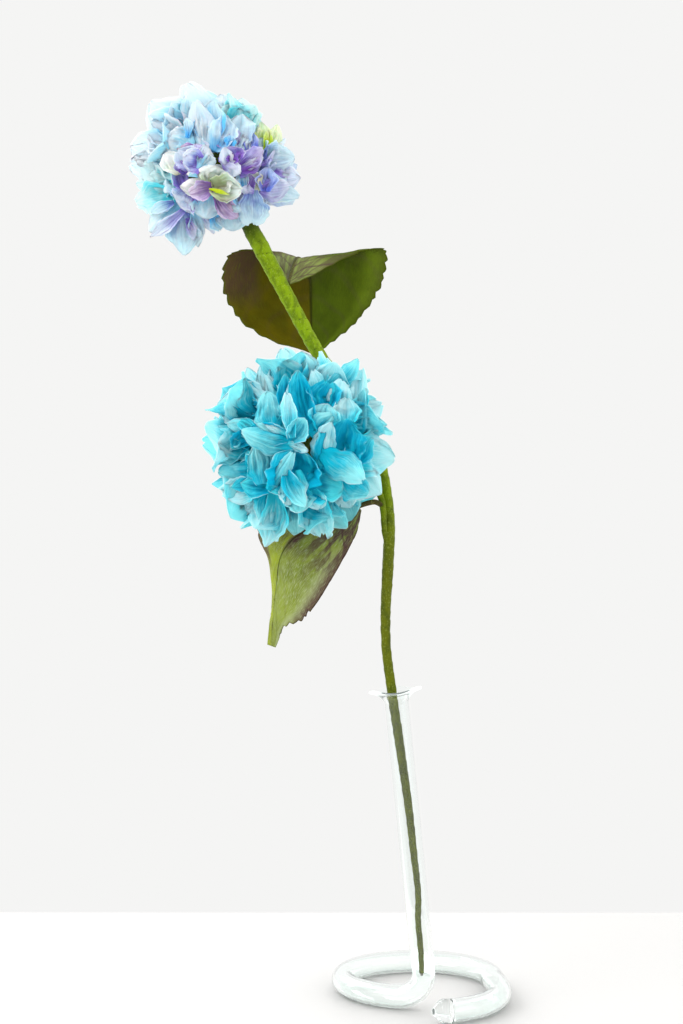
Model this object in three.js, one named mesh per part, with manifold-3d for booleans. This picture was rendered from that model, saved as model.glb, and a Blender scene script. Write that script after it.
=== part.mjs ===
// Two crepe-paper hydrangea heads on one wrapped wire stem, standing in a clear glass tube whose foot is
// bent into a flat coil. Millimetres, +Z up, the viewer looks along +Y. Places are measured from the middle
// of the coil's ring on the table; the last lines move the origin to the middle of the whole object's base.

import * as THREE from "three";
import { mergeVertices } from "three/addons/utils/BufferGeometryUtils.js";
import Module from "manifold-3d";

const wasm = await Module();
wasm.setup();

// ---- Driving dimensions -------------------------------------------------------------------------------

const GAP = 0.3; // clearance between pieces that touch
const CLEARANCE_CUT = 0.35; // how much wider a hole is cut than the stem in it

// Glass tube: a 14 mm tube, its upright part leaning, its foot coiled once round and a little more.
const TUBE_SIDES = 12;
const TUBE_RADIUS = 7;
const TUBE_WALL = 1.8;
const COIL_RADIUS = 46.5; // of the ring, to the middle of the tube
const COIL_START = THREE.MathUtils.degToRad(-108.5); // where the foot's bend runs into the ring
const COIL_TURN_TO_SPIRAL = THREE.MathUtils.degToRad(251.5); // from there round the back to the right side
const SPIRAL_TURN = THREE.MathUtils.degToRad(82); // the outer stretch on the right and in front
const SPIRAL_WIDENING = 32.3;
const FOOT_BEND_RADIUS = 17;
const RIM_MIDDLE = new THREE.Vector3(-15.4, -46.5, 190.5);
const LIP_HEIGHT = 8.5;
const LIP_RADIUS = 16; // of the flared lip's edge
const LIP_WAVE = 1.1; // how far the edge rises and falls
const LIP_LOBES = 3;
const TIP_NUB_RADIUS = 2.6; // the pulled-off end of the glass
const TIP_NUB_LENGTH = 5;

// Stems: paper wrapped round a wire.
const STEM_SIDES = 8;
const WIRE_RADIUS = 1.0;
const WIRE_BORE_RADIUS = 1.0 + GAP;
const WIRE_SHOWS = 1.5; // wire end that stands out of the wrap at each end

// Paper: crepe doubled and stiffened, drawn a little thicker than life.
const PETAL_THICKNESS = 0.7;
const LEAF_THICKNESS = 0.8;

// ---- Small helpers ------------------------------------------------------------------------------------

const v3 = (x, y, z) => new THREE.Vector3(x, y, z);
const degrees = THREE.MathUtils.degToRad;
const smoothstep = THREE.MathUtils.smoothstep;

// Repeatable random numbers between 0 and 1.
function seededDraws(seed) {
  let state = seed >>> 0;
  return () => {
    state = (state + 0x6d2b79f5) >>> 0;
    let t = Math.imul(state ^ (state >>> 15), 1 | state);
    t = (t + Math.imul(t ^ (t >>> 7), 61 | t)) ^ t;
    return ((t ^ (t >>> 14)) >>> 0) / 4294967296;
  };
}

// A closed solid from rows of points: each row is a ring of the same count, or one point that closes an end.
function loftRings(rows) {
  const positions = [];
  const indices = [];
  const starts = rows.map((row) => {
    const start = positions.length / 3;
    row.forEach((p) => positions.push(p.x, p.y, p.z));
    return start;
  });
  for (let r = 0; r + 1 < rows.length; r += 1) {
    const count = Math.max(rows[r].length, rows[r + 1].length);
    for (let i = 0; i < count; i += 1) {
      const j = (i + 1) % count;
      const a = rows[r].length === 1 ? [starts[r], starts[r]] : [starts[r] + i, starts[r] + j];
      const next = starts[r + 1];
      const b = rows[r + 1].length === 1 ? [next, next] : [next + i, next + j];
      if (rows[r].length > 1) indices.push(a[0], a[1], b[1]);
      if (rows[r + 1].length > 1) indices.push(a[0], b[1], b[0]);
    }
  }
  const geometry = new THREE.BufferGeometry();
  geometry.setAttribute("position", new THREE.Float32BufferAttribute(positions, 3));
  geometry.setIndex(indices);
  return geometry;
}

function toSolid(geometry) {
  const merged = mergeVertices(geometry, 1e-4);
  return new wasm.Manifold(
    new wasm.Mesh({
      numProp: 3,
      vertProperties: new Float32Array(merged.attributes.position.array),
      triVerts: new Uint32Array(merged.index.array),
    }),
  );
}

// The height of a triangle over its longest side, and which of its corners faces that side.
function flattest([a, b, c]) {
  const lengths = [b.distanceTo(c), c.distanceTo(a), a.distanceTo(b)];
  const longest = Math.max(...lengths);
  const area = b.clone().sub(a).cross(c.clone().sub(a)).length();
  return { height: longest > 0 ? area / longest : 0, corner: lengths.indexOf(longest) };
}

// Joining crossed sheets leaves needles and flat caps thinner than a file's rounding. Sides that are too
// short are closed up, where that leaves the surface whole, and the long side of each flat cap is turned
// across the triangle next to it.
function mendSlivers(points, triangles) {
  const SHORTEST_SIDE = 0.012;
  const FLATTEST_CAP = 0.004;
  const around = points.map(() => new Set());
  triangles.forEach((triangle) => triangle.forEach((n) => around[n].add(triangle)));
  const neighbours = (n) => new Set([...around[n]].flat().filter((m) => m !== n));
  for (const triangle of triangles) {
    for (const k of [0, 1, 2]) {
      const [from, to] = [triangle[k], triangle[(k + 1) % 3]];
      if (!around[from].has(triangle) || points[from].distanceTo(points[to]) > SHORTEST_SIDE) continue;
      const shared = [...neighbours(from)].filter((n) => neighbours(to).has(n));
      if (shared.length !== 2) continue;
      for (const touched of [...around[from]]) {
        around[from].delete(touched);
        if (touched.includes(to)) {
          touched.forEach((n) => around[n].delete(touched));
        } else {
          touched[touched.indexOf(from)] = to;
          around[to].add(touched);
        }
      }
      break;
    }
  }
  const kept = triangles.filter((triangle) => around[triangle[0]].has(triangle));
  const across = new Map();
  kept.forEach((t, i) => t.forEach((from, k) => across.set(`${from} ${t[(k + 1) % 3]}`, i)));
  for (let pass = 0; pass < 6; pass += 1) {
    kept.forEach((triangle, i) => {
      const { height, corner } = flattest(triangle.map((n) => points[n]));
      if (height > FLATTEST_CAP) return;
      const [w, u, v] = [0, 1, 2].map((k) => triangle[(corner + k) % 3]);
      const j = across.get(`${v} ${u}`);
      const x = kept[j].find((n) => n !== u && n !== v);
      if (across.has(`${w} ${x}`) || across.has(`${x} ${w}`)) return;
      const turned = [[u, x, w], [x, v, w]];
      const worst = Math.min(...turned.map((t) => flattest(t.map((n) => points[n])).height));
      if (worst <= height) return;
      across.delete(`${u} ${v}`);
      across.delete(`${v} ${u}`);
      [kept[i], kept[j]] = turned;
      [i, j].forEach((n) => kept[n].forEach((from, k) => across.set(`${from} ${kept[n][(k + 1) % 3]}`, n)));
    });
  }
  return kept;
}

// Where two places of the surface touch in one point, each draws back into its own side.
function partTouchingPoints(points, triangles) {
  const DRAWN_BACK = 0.03;
  const normals = points.map(() => v3(0, 0, 0));
  const sameplace = new Map();
  for (const triangle of triangles) {
    const [a, b, c] = triangle.map((n) => points[n]);
    const normal = b.clone().sub(a).cross(c.clone().sub(a)).normalize();
    triangle.forEach((n) => normals[n].add(normal));
  }
  new Set(triangles.flat()).forEach((n) => {
    const key = points[n].toArray().map((x) => x.toFixed(3)).join(" ");
    sameplace.set(key, [...(sameplace.get(key) ?? []), n]);
  });
  for (const group of sameplace.values()) {
    if (group.length === 1) continue;
    for (const n of group) points[n].addScaledVector(normals[n].normalize(), -DRAWN_BACK);
  }
}

// The largest single body of a solid, mended and made a solid again.
function largestBody(solid) {
  const bodies = solid.decompose();
  bodies.sort((a, b) => b.volume() - a.volume());
  const mesh = bodies[0].getMesh();
  const points = [];
  for (let i = 0; i < mesh.numVert; i += 1) {
    points.push(v3(...mesh.vertProperties.slice(i * mesh.numProp, i * mesh.numProp + 3)));
  }
  const triangles = [];
  for (let i = 0; i < mesh.numTri; i += 1) triangles.push([...mesh.triVerts.slice(3 * i, 3 * i + 3)]);
  const mended = mendSlivers(points, triangles);
  partTouchingPoints(points, mended);
  return new wasm.Manifold(
    new wasm.Mesh({
      numProp: 3,
      vertProperties: new Float32Array(points.flatMap((p) => p.toArray())),
      triVerts: new Uint32Array(mended.flat()),
    }),
  );
}

function toGeometry(solid) {
  const mesh = solid.getMesh();
  const geometry = new THREE.BufferGeometry();
  const points = [];
  for (let i = 0; i < mesh.numVert; i += 1) {
    points.push(...mesh.vertProperties.slice(i * mesh.numProp, i * mesh.numProp + 3));
  }
  geometry.setAttribute("position", new THREE.Float32BufferAttribute(points, 3));
  geometry.setIndex([...mesh.triVerts]);
  return geometry;
}

// Frames along a line of points, carried from one point to the next without twisting about the line.
function carriedFrames(points, firstUp) {
  const frames = [];
  let up = firstUp.clone();
  points.forEach((point, i) => {
    const before = points[Math.max(0, i - 1)];
    const after = points[Math.min(points.length - 1, i + 1)];
    const along = after.clone().sub(before).normalize();
    up = up.sub(along.clone().multiplyScalar(up.dot(along))).normalize();
    frames.push({ point, along, up: up.clone(), side: up.clone().cross(along) });
  });
  return frames;
}

// A ring of points round a frame; half a step of turn puts a flat side underneath.
function ringAt(frame, radius, sides, { lift = () => 0, advance = 0 } = {}) {
  const ring = [];
  for (let i = 0; i < sides; i += 1) {
    const angle = ((i + 0.5) / sides) * 2 * Math.PI;
    ring.push(
      frame.point
        .clone()
        .addScaledVector(frame.side, Math.cos(angle) * radius)
        .addScaledVector(frame.up, Math.sin(angle) * radius)
        .addScaledVector(frame.along, advance + lift(angle)),
    );
  }
  return ring;
}

// A rod of changing radius along a line, and the same rod with a bore open at both ends.
function rod(frames, radii, sides) {
  const rings = frames.map((frame, i) => ringAt(frame, radii[i], sides));
  const first = [frames[0].point.clone()];
  const last = [frames[frames.length - 1].point.clone()];
  return loftRings([first, ...rings, last]);
}

function boredRod(frames, radii, boreRadius, sides) {
  const outside = frames.map((frame, i) => ringAt(frame, radii[i], sides));
  const inside = frames.map((frame) => ringAt(frame, boreRadius, sides)).reverse();
  return loftRings([...outside, ...inside, outside[0]]);
}

// Points evenly spaced on a smooth curve through hand-set stations, each station being x, y, z and radius.
function spacedStations(stations, count) {
  const places = new THREE.CatmullRomCurve3(stations.map(([x, y, z]) => v3(x, y, z)), false, "centripetal");
  const radii = new THREE.CatmullRomCurve3(stations.map(([, , , r], i) => v3(r, i, 0)), false, "centripetal");
  const points = [];
  const widths = [];
  for (let i = 0; i < count; i += 1) {
    const t = places.getUtoTmapping(i / (count - 1));
    points.push(places.getPoint(t));
    widths.push(radii.getPoint(t).x);
  }
  return { points, widths };
}

// ---- Glass vase ---------------------------------------------------------------------------------------

// The tube's flat side lies on the table, so its middle is this high.
const COIL_HEIGHT = TUBE_RADIUS * Math.cos(Math.PI / TUBE_SIDES);

function coilPoint(turn) {
  const widening = smoothstep((turn - COIL_TURN_TO_SPIRAL) / SPIRAL_TURN, 0, 1);
  const radius = COIL_RADIUS + SPIRAL_WIDENING * widening;
  const angle = COIL_START - turn;
  return v3(Math.cos(angle) * radius, Math.sin(angle) * radius, COIL_HEIGHT);
}

// The upright part's lower end stands over the place where its bend meets the ring.
const COIL_ENTRY = coilPoint(0);
const ENTRY_ALONG = v3(Math.sin(COIL_START), -Math.cos(COIL_START), 0);
const FOOT_TOP = COIL_ENTRY.clone().addScaledVector(ENTRY_ALONG, -FOOT_BEND_RADIUS);
FOOT_TOP.z += FOOT_BEND_RADIUS;
const TUBE_ALONG = RIM_MIDDLE.clone().sub(FOOT_TOP).normalize();

// The middle of the upright tube at a height, which the stem inside follows.
function tubeMiddleAt(z) {
  return FOOT_TOP.clone().addScaledVector(TUBE_ALONG, (z - FOOT_TOP.z) / TUBE_ALONG.z);
}

function vaseLine() {
  const COIL_STEPS = 38;
  const BEND_STEPS = 6;
  const line = [];
  for (let i = 0; i < COIL_STEPS; i += 1) {
    line.push(coilPoint((COIL_TURN_TO_SPIRAL + SPIRAL_TURN) * (1 - i / COIL_STEPS)));
  }
  const handle = FOOT_BEND_RADIUS * 0.58;
  const bend = new THREE.CubicBezierCurve3(
    COIL_ENTRY,
    COIL_ENTRY.clone().addScaledVector(ENTRY_ALONG, -handle),
    FOOT_TOP.clone().addScaledVector(TUBE_ALONG, -handle),
    FOOT_TOP,
  );
  line.push(...bend.getPoints(BEND_STEPS));
  const throat = RIM_MIDDLE.clone().addScaledVector(TUBE_ALONG, -LIP_HEIGHT);
  for (const share of [1 / 3, 2 / 3]) line.push(FOOT_TOP.clone().lerp(throat, share));
  line.push(throat);
  return line;
}

function glassVase() {
  const frames = carriedFrames(vaseLine(), v3(0, 0, 1));
  const throat = frames[frames.length - 1];
  const tip = frames[0];
  const innerRadius = TUBE_RADIUS - TUBE_WALL;

  // Lip profile: height above the throat and radius, outside going up, then inside going down.
  const outside = [[3, TUBE_RADIUS + 0.7], [5.6, TUBE_RADIUS + 3], [7.4, LIP_RADIUS - 2.6]];
  const edge = [[LIP_HEIGHT - 0.4, LIP_RADIUS], [LIP_HEIGHT + 0.7, LIP_RADIUS - 0.5]];
  const inside = [[LIP_HEIGHT + 0.1, LIP_RADIUS - 3], [6.6, TUBE_RADIUS + 1.4], [3.2, innerRadius + 0.9]];
  const lipRing = ([height, radius]) => {
    const share = Math.max(0, (radius - TUBE_RADIUS) / (LIP_RADIUS - TUBE_RADIUS));
    const lift = (angle) => LIP_WAVE * share * Math.sin(LIP_LOBES * angle + 0.6);
    return ringAt(throat, radius, TUBE_SIDES, { lift, advance: height });
  };

  // The end is drawn out to a short nub and melted shut; the bore stops short of it.
  const nub = [
    [-TIP_NUB_LENGTH, TIP_NUB_RADIUS * 0.7],
    [-TIP_NUB_LENGTH * 0.5, TIP_NUB_RADIUS],
    [-1.6, TUBE_RADIUS * 0.7],
  ];
  const nubRings = nub.map(([advance, radius]) => ringAt(tip, radius, TUBE_SIDES, { advance }));
  const nubEnd = [tip.point.clone().addScaledVector(tip.along, -TIP_NUB_LENGTH - 0.6)];
  const boreEnd = [frames[1].point.clone().addScaledVector(frames[1].along, -2.5)];
  const outerRings = frames.map((frame) => ringAt(frame, TUBE_RADIUS, TUBE_SIDES));
  const innerRings = frames.slice(1).map((frame) => ringAt(frame, innerRadius, TUBE_SIDES)).reverse();
  return loftRings([
    nubEnd,
    ...nubRings,
    ...outerRings,
    ...outside.map(lipRing),
    ...edge.map(lipRing),
    ...inside.map(lipRing),
    ...innerRings,
    boreEnd,
  ]);
}

// ---- Stems --------------------------------------------------------------------------------------------

// In the tube the stem's place is set from the tube's own middle, so that it leans on the glass at the rim.
const inTube = (z, aside, back, radius) => {
  const middle = tubeMiddleAt(z);
  return [middle.x + aside, middle.y + back, z, radius];
};

const MAIN_STEM = [
  inTube(22, -1.2, 2.2, 1.5),
  inTube(36, -0.4, 2.4, 1.8),
  inTube(53, -0.2, 1.8, 1.85),
  inTube(68, 1.4, 1.0, 1.9),
  inTube(92, 1.3, 0.4, 2.1),
  inTube(125, 0.8, -0.2, 2.4),
  inTube(158, -0.6, 0, 2.7),
  inTube(181, -1.8, 0.1, 2.85),
  inTube(192, -2.2, 0.2, 2.9),
  [-20.6, -45, 214.4, 2.8],
  [-21.1, -42, 235.2, 3.0],
  [-19.5, -37, 265.1, 3.4],
  [-18.5, -32, 289.1, 3.3],
  [-19.9, -27, 307.3, 3.2],
  [-25.1, -17, 331.9, 3.4],
  [-34.9, -11, 354.9, 3.8],
  [-51.5, -7, 379.8, 4.1],
  [-62.0, -5, 395.4, 4.2],
  [-70.7, -5, 410.9, 4.4],
  [-80.6, -6, 429.4, 4.6],
  [-90.5, -7, 447.8, 5.0],
  [-99.7, -8, 465.0, 5.2],
  [-106.5, -8.5, 477.5, 4.6],
  [-113.0, -9, 489.5, 3.4],
  [-120.2, -9.7, 501.6, 2.6],
];

// The lower head's stem lies against the main stem, then turns forward and left to the head.
const BRANCH_STEM = [
  [-21.75, -36.8, 287, 1.7],
  [-22.3, -34.1, 298, 1.8],
  [-24.0, -30.9, 307, 2.0],
  [-29.0, -29.8, 313.8, 2.2],
  [-37.0, -31.5, 319.2, 2.4],
  [-46.0, -35.5, 323.5, 2.4],
  [-55.0, -41.0, 328.5, 2.4],
  [-66.5, -45.4, 333.2, 2.3],
];

const stemLine = ({ points, widths }, firstUp) => ({ frames: carriedFrames(points, firstUp), radii: widths });
const MAIN_STEM_LINE = stemLine(spacedStations(MAIN_STEM, 38), v3(0, 1, 0));
const BRANCH_STEM_LINE = stemLine(spacedStations(BRANCH_STEM, 11), v3(0, 1, 0));

const stemWrap = ({ frames, radii }) => boredRod(frames, radii, WIRE_BORE_RADIUS, STEM_SIDES);

// The wire is the bore's own line with its ends drawn out past the paper.
function stemWire({ frames }) {
  const last = frames.length - 1;
  const longer = frames.map((frame) => ({ ...frame, point: frame.point.clone() }));
  longer[0].point.addScaledVector(frames[0].along, -WIRE_SHOWS);
  longer[last].point.addScaledVector(frames[last].along, WIRE_SHOWS);
  return rod(longer, frames.map(() => WIRE_RADIUS), STEM_SIDES);
}

// The space a stem takes, with clearance, for cutting its way out of a head or a leaf.
function stemSpace({ frames, radii }) {
  const last = frames.length - 1;
  const longer = frames.map((frame) => ({ ...frame, point: frame.point.clone() }));
  longer[last].point.addScaledVector(frames[last].along, WIRE_SHOWS + 1);
  return toSolid(rod(longer, radii.map((r) => r + CLEARANCE_CUT), STEM_SIDES));
}

const STEM_SPACE = wasm.Manifold.union([stemSpace(MAIN_STEM_LINE), stemSpace(BRANCH_STEM_LINE)]);

// ---- Leaves -------------------------------------------------------------------------------------------

// Gives a sheet of points and triangles an even thickness: both faces keep the same triangles, and a wall
// closes every edge that only one triangle has.
function thickSheet(points, triangles, thickness) {
  const normals = points.map(() => v3(0, 0, 0));
  const edges = new Map();
  for (const triangle of triangles) {
    const [a, b, c] = triangle.map((i) => points[i]);
    const normal = b.clone().sub(a).cross(c.clone().sub(a));
    triangle.forEach((from, k) => {
      const to = triangle[(k + 1) % 3];
      normals[from].add(normal);
      edges.set(`${from} ${to}`, [from, to]);
    });
  }
  normals.forEach((normal) => normal.normalize());
  const face = (sign) => points.map((p, i) => p.clone().addScaledVector(normals[i], (sign * thickness) / 2));
  const under = points.length;
  const indices = triangles.flatMap(([a, b, c]) => [a, b, c, under + a, under + c, under + b]);
  for (const [from, to] of edges.values()) {
    if (!edges.has(`${to} ${from}`)) indices.push(to, from, under + from, to, under + from, under + to);
  }
  const geometry = new THREE.BufferGeometry();
  const positions = [...face(1), ...face(-1)].flatMap((p) => p.toArray());
  geometry.setAttribute("position", new THREE.Float32BufferAttribute(positions, 3));
  geometry.setIndex(indices);
  return geometry;
}

// The triangles between two neighbouring rows of a sheet, given as point numbers from left to right.
function stripTriangles(row, nextRow) {
  const triangles = [];
  for (let c = 0; c + 1 < row.length; c += 1) {
    triangles.push([row[c], row[c + 1], nextRow[c + 1]], [row[c], nextRow[c + 1], nextRow[c]]);
  }
  return triangles;
}

const LEAF_ROWS = 22;
const LEAF_HALF_COLUMNS = 2;
const TOOTH_DEPTH = 1.7;
const TEETH_START = 0.3; // share of the length above which the edge is smooth
const RIB_SIDES = 6;

// A blade between three lines that share their station numbers: left edge, midrib and right edge.
function leafBlade({ left, midrib, right, belly }, clearance) {
  const curves = [left, midrib, right].map(
    (stations) => new THREE.CatmullRomCurve3(stations.map(([x, y, z]) => v3(x, y, z)), false, "centripetal"),
  );
  const grid = [];
  for (let r = 0; r <= LEAF_ROWS; r += 1) {
    const t = r / LEAF_ROWS;
    const [leftEdge, middle, rightEdge] = curves.map((curve) => curve.getPoint(t));
    const bite = t > TEETH_START && t < 0.98 && r % 2 === 1 ? TOOTH_DEPTH : 0;
    const row = [];
    for (let c = -LEAF_HALF_COLUMNS; c <= LEAF_HALF_COLUMNS; c += 1) {
      const edge = c < 0 ? leftEdge : rightEdge;
      const width = edge.distanceTo(middle);
      const edgeChange = Math.abs(c) === LEAF_HALF_COLUMNS ? (clearance - bite) / Math.max(width, 4) : 0;
      const share = Math.abs(c) / LEAF_HALF_COLUMNS + edgeChange;
      const p = middle.clone().lerp(edge, share);
      p.addScaledVector(belly, Math.sin(Math.PI * Math.min(1, share)) * width * 0.09);
      row.push(p);
    }
    grid.push(row);
  }
  const columns = 2 * LEAF_HALF_COLUMNS + 1;
  const rowNumbers = grid.map((row, r) => row.map((_, c) => r * columns + c));
  const triangles = rowNumbers.slice(1).flatMap((row, r) => stripTriangles(rowNumbers[r], row));
  const thickness = LEAF_THICKNESS + 2 * clearance;
  return { sheet: toSolid(thickSheet(grid.flat(), triangles, thickness)), ribLine: curves[1] };
}

// A blade, its stalk and its midrib; with a clearance, the space that they need.
function leaf(shape, clearance = 0) {
  const { sheet, ribLine } = leafBlade(shape, clearance);
  const stalk = spacedStations(shape.stalk, shape.stalkSteps);
  const stalkRadii = stalk.widths.map((r) => r + clearance);
  const stalkSolid = toSolid(rod(carriedFrames(stalk.points, v3(0, 0, 1)), stalkRadii, RIB_SIDES));
  const RIB_STEPS = 14;
  const ribPoints = [];
  for (let i = 0; i <= RIB_STEPS; i += 1) ribPoints.push(ribLine.getPoint((i / RIB_STEPS) * 0.93));
  const ribRadii = ribPoints.map((_, i) => THREE.MathUtils.lerp(1.15, 0.55, i / RIB_STEPS) + clearance);
  const rib = toSolid(rod(carriedFrames(ribPoints, v3(0, 0, 1)), ribRadii, RIB_SIDES));
  return largestBody(wasm.Manifold.union([sheet, stalkSolid, rib]).subtract(STEM_SPACE));
}

// Hung behind the stem like an umbrella: up and back from its stalk, over a ridge and down.
const UPPER_LEAF = {
  stalk: [[-82.6, -0.6, 436.6, 1.5], [-80.9, 1.6, 439.4, 1.4], [-79.8, 6, 443.2, 1.2]],
  stalkSteps: 4,
  belly: v3(0, 0.5, 0.87),
  midrib: [
    [-80.7, -0.2, 438.6], [-79.2, 12, 447.7], [-75.8, 28, 458.6], [-71.6, 40, 457.7], [-67.8, 46, 446.8],
    [-67.2, 48, 430.9], [-66.6, 46, 414.5], [-63.9, 40, 398.5],
  ],
  right: [
    [-79.6, 0.2, 438.6], [-68.0, 14, 445.0], [-55.5, 33, 453.7], [-40.7, 42, 462.4], [-18.8, 45, 466.5],
    [-21.0, 46, 444.0], [-37.5, 46, 419.7], [-62.8, 40, 398.3],
  ],
  left: [
    [-81.6, 0.2, 438.6], [-91.0, 13, 446.0], [-98.3, 33, 456.9], [-105.1, 42, 465.6], [-122.0, 46, 462.0],
    [-124.0, 46, 438.0], [-106.5, 44, 414.3], [-65.0, 40, 398.3],
  ],
};

// Hung from the junction of the two stems, down and to the left, its tip folded into a long trough.
const LOWER_LEAF = {
  stalk: [
    [-25.4, -33.4, 302.6, 1.4], [-31.5, -34.0, 302.4, 1.35], [-40, -31, 299.4, 1.3],
    [-50, -27.5, 295.6, 1.3],
  ],
  stalkSteps: 6,
  belly: v3(0.3, -0.95, 0),
  midrib: [
    [-37.5, -31.6, 300.3], [-49.0, -27, 295.8], [-59.4, -24, 291.5], [-69.8, -22, 285.4], [-79.0, -21, 278.7],
    [-84.5, -21, 270.1], [-86.9, -22, 255.5], [-88.7, -23, 237.2], [-90.4, -24, 215.4],
  ],
  right: [
    [-35.5, -33.5, 298.0], [-38.1, -35, 285.3], [-43.0, -36, 275.0], [-50.6, -36, 261.2], [-57.0, -35.5, 250.5],
    [-64.5, -34.5, 239.0], [-71.5, -32.5, 231.0], [-81.8, -28, 226.6], [-87.6, -24.5, 214.6],
  ],
  left: [
    [-38.6, -29.6, 301.6], [-54.6, -14, 304.6], [-73.1, -6, 303.4], [-88.6, -5, 300.3], [-99.5, -8, 293.2],
    [-98.3, -11, 281.1], [-92.5, -15, 268.6], [-89.8, -19, 246.3], [-92.6, -23.6, 216.2],
  ],
};

// ---- Flower heads -------------------------------------------------------------------------------------

// A petal is an arc that leans away from the floret's axis, cupped across and pointed at its end, and it
// stays inside its own share of the floret's round. It starts at the claw's height on the axis, along runs
// from 0 there to 1 at the tip and across from -1 to 1; x is sideways, y outward and z up the axis.
function petalPoint(petal, along, across) {
  const { length, width, rootLean, tipLean, cup, ruffle, wavePhase, sector } = petal;
  const WIDEST = 0.66;
  const half =
    along < WIDEST
      ? 0.2 + 0.8 * Math.sin((Math.PI / 2) * (along / WIDEST)) ** 1.2
      : Math.sqrt(1 - ((along - WIDEST) / 0.37) ** 2.2);
  const bend = tipLean - rootLean;
  const reach = along * (1 + 0.08 * smoothstep(along, 0.8, 1) * (1 - Math.abs(across)));
  const lean = rootLean + bend * reach;
  const out = (length * (Math.cos(rootLean) - Math.cos(lean))) / bend;
  const up = (length * (Math.sin(lean) - Math.sin(rootLean))) / bend;
  const raise = width * along * (cup * across * across * (1.3 - 0.5 * along) +
    ruffle * Math.sin(across * 4.2 + wavePhase));
  const outward = out - raise * Math.cos(lean);
  const sideways = Math.min(half * (width / 2), Math.tan(sector) * outward);
  return v3(across * sideways, outward, petal.clawHeight + up + raise * Math.sin(lean));
}

const PETAL_PARTING = degrees(7.5); // half the angle left free between neighbouring petals
const PETAL_ROWS = [0.36, 0.72, 1];
const PETAL_COLUMNS = [-1, 0, 1];

// A floret is one sheet: a narrow funnel that stands in the core and parts into petals above its claws.
function floretSolid(petals, root) {
  const points = [root];
  const triangles = [];
  const claws = [];
  petals.forEach(({ petal, place }) => {
    const rows = PETAL_ROWS.map((along) =>
      PETAL_COLUMNS.map((across) => points.push(petalPoint(petal, along, across).applyMatrix4(place)) - 1),
    );
    triangles.push(...rows.slice(1).flatMap((row, r) => stripTriangles(rows[r], row)));
    claws.push(...rows[0]);
  });
  claws.forEach((from, i) => triangles.push([0, claws[(i + 1) % claws.length], from]));
  return toSolid(thickSheet(points, triangles, PETAL_THICKNESS));
}

// The direction of a floret from the head's middle: round is counted in the viewer's picture, with 0 to the
// right and 90 up; off is the angle away from the viewer.
function floretDirection([round, off]) {
  const [a, b] = [degrees(round), degrees(off)];
  return v3(Math.cos(a) * Math.sin(b), -Math.cos(b), Math.sin(a) * Math.sin(b));
}

function paperFloret(head, floret, draw) {
  const axis = floretDirection(floret);
  const [, , twist, size = 1, open = 1] = floret;
  const reference = Math.abs(axis.z) < 0.9 ? v3(0, 0, 1) : v3(1, 0, 0);
  const sideways = reference.clone().cross(axis).normalize();
  const upward = axis.clone().cross(sideways);
  const root = head.middle.clone().addScaledVector(axis, head.rootRadius);
  const petals = [];
  for (let i = 0; i < head.petalCount; i += 1) {
    const spread = draw() - 0.5;
    const petal = {
      length: head.petalLength * size * (0.94 + 0.16 * draw()),
      width: head.petalWidth * size * (0.92 + 0.2 * draw()),
      rootLean: degrees(26 + 8 * draw()) * open,
      tipLean: degrees(50 + 18 * draw()) * open,
      cup: 0.2 + 0.14 * draw(),
      ruffle: 0.05 * draw(),
      wavePhase: 6.28 * draw(),
      sector: Math.PI / head.petalCount - PETAL_PARTING,
      clawHeight: head.clawHeight,
    };
    const angle = degrees(twist) - ((i + 0.04 * spread) / head.petalCount) * 2 * Math.PI;
    const outward = sideways.clone().multiplyScalar(Math.cos(angle)).addScaledVector(upward, Math.sin(angle));
    const place = new THREE.Matrix4().makeBasis(outward.clone().cross(axis), outward, axis).setPosition(root);
    petals.push({ petal, place });
  }
  return floretSolid(petals, root);
}

function flowerHead(head, awayFrom) {
  const draw = seededDraws(head.seed);
  const core = new THREE.IcosahedronGeometry(head.coreRadius, 2);
  core.deleteAttribute("normal");
  core.deleteAttribute("uv");
  core.translate(...head.middle.toArray());
  const pieces = [toSolid(core)];
  for (const floret of head.florets) pieces.push(paperFloret(head, floret, draw));
  return largestBody(wasm.Manifold.union(pieces).subtract(wasm.Manifold.union(awayFrom)));
}

// Florets of each head: round, off, twist of the petals, and for some size and how far they open.
const LOWER_HEAD = {
  seed: 11,
  middle: v3(-73.5, -48, 336),
  coreRadius: 14,
  rootRadius: 10,
  clawHeight: 14,
  petalCount: 4,
  petalLength: 33,
  petalWidth: 25,
  florets: [
    [130, 13, 15], [-92, 40, 40], [-6, 43, 75], [60, 47, 10], [116, 50, 60], [-150, 54, 20],
    [24, 82, 30], [62, 92, 0], [99, 92, 50], [144, 84, 80], [178, 84, 25], [-142, 98, 60],
    [-112, 86, 10], [-70, 80, 45], [-34, 82, 70],
    [100, 140, 30], [-170, 136, 0], [10, 128, 60],
  ],
};

const UPPER_HEAD = {
  seed: 23,
  middle: v3(-124.3, -10, 508.5),
  coreRadius: 13,
  rootRadius: 9,
  clawHeight: 12,
  petalCount: 4,
  petalLength: 30.5,
  petalWidth: 23,
  florets: [
    [-96, 22, 45], [152, 34, 15], [38, 32, 60], [96, 60, 30], [-6, 72, 0], [-46, 58, 50],
    [-108, 66, 20], [-158, 70, 65], [160, 74, 40], [128, 84, 10], [28, 76, 80],
    [66, 84, 35], [-128, 104, 55],
    [100, 118, 0], [-10, 124, 45], [160, 126, 70], [-170, 172, 20],
  ],
};

// ---- Assembly -----------------------------------------------------------------------------------------

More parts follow.
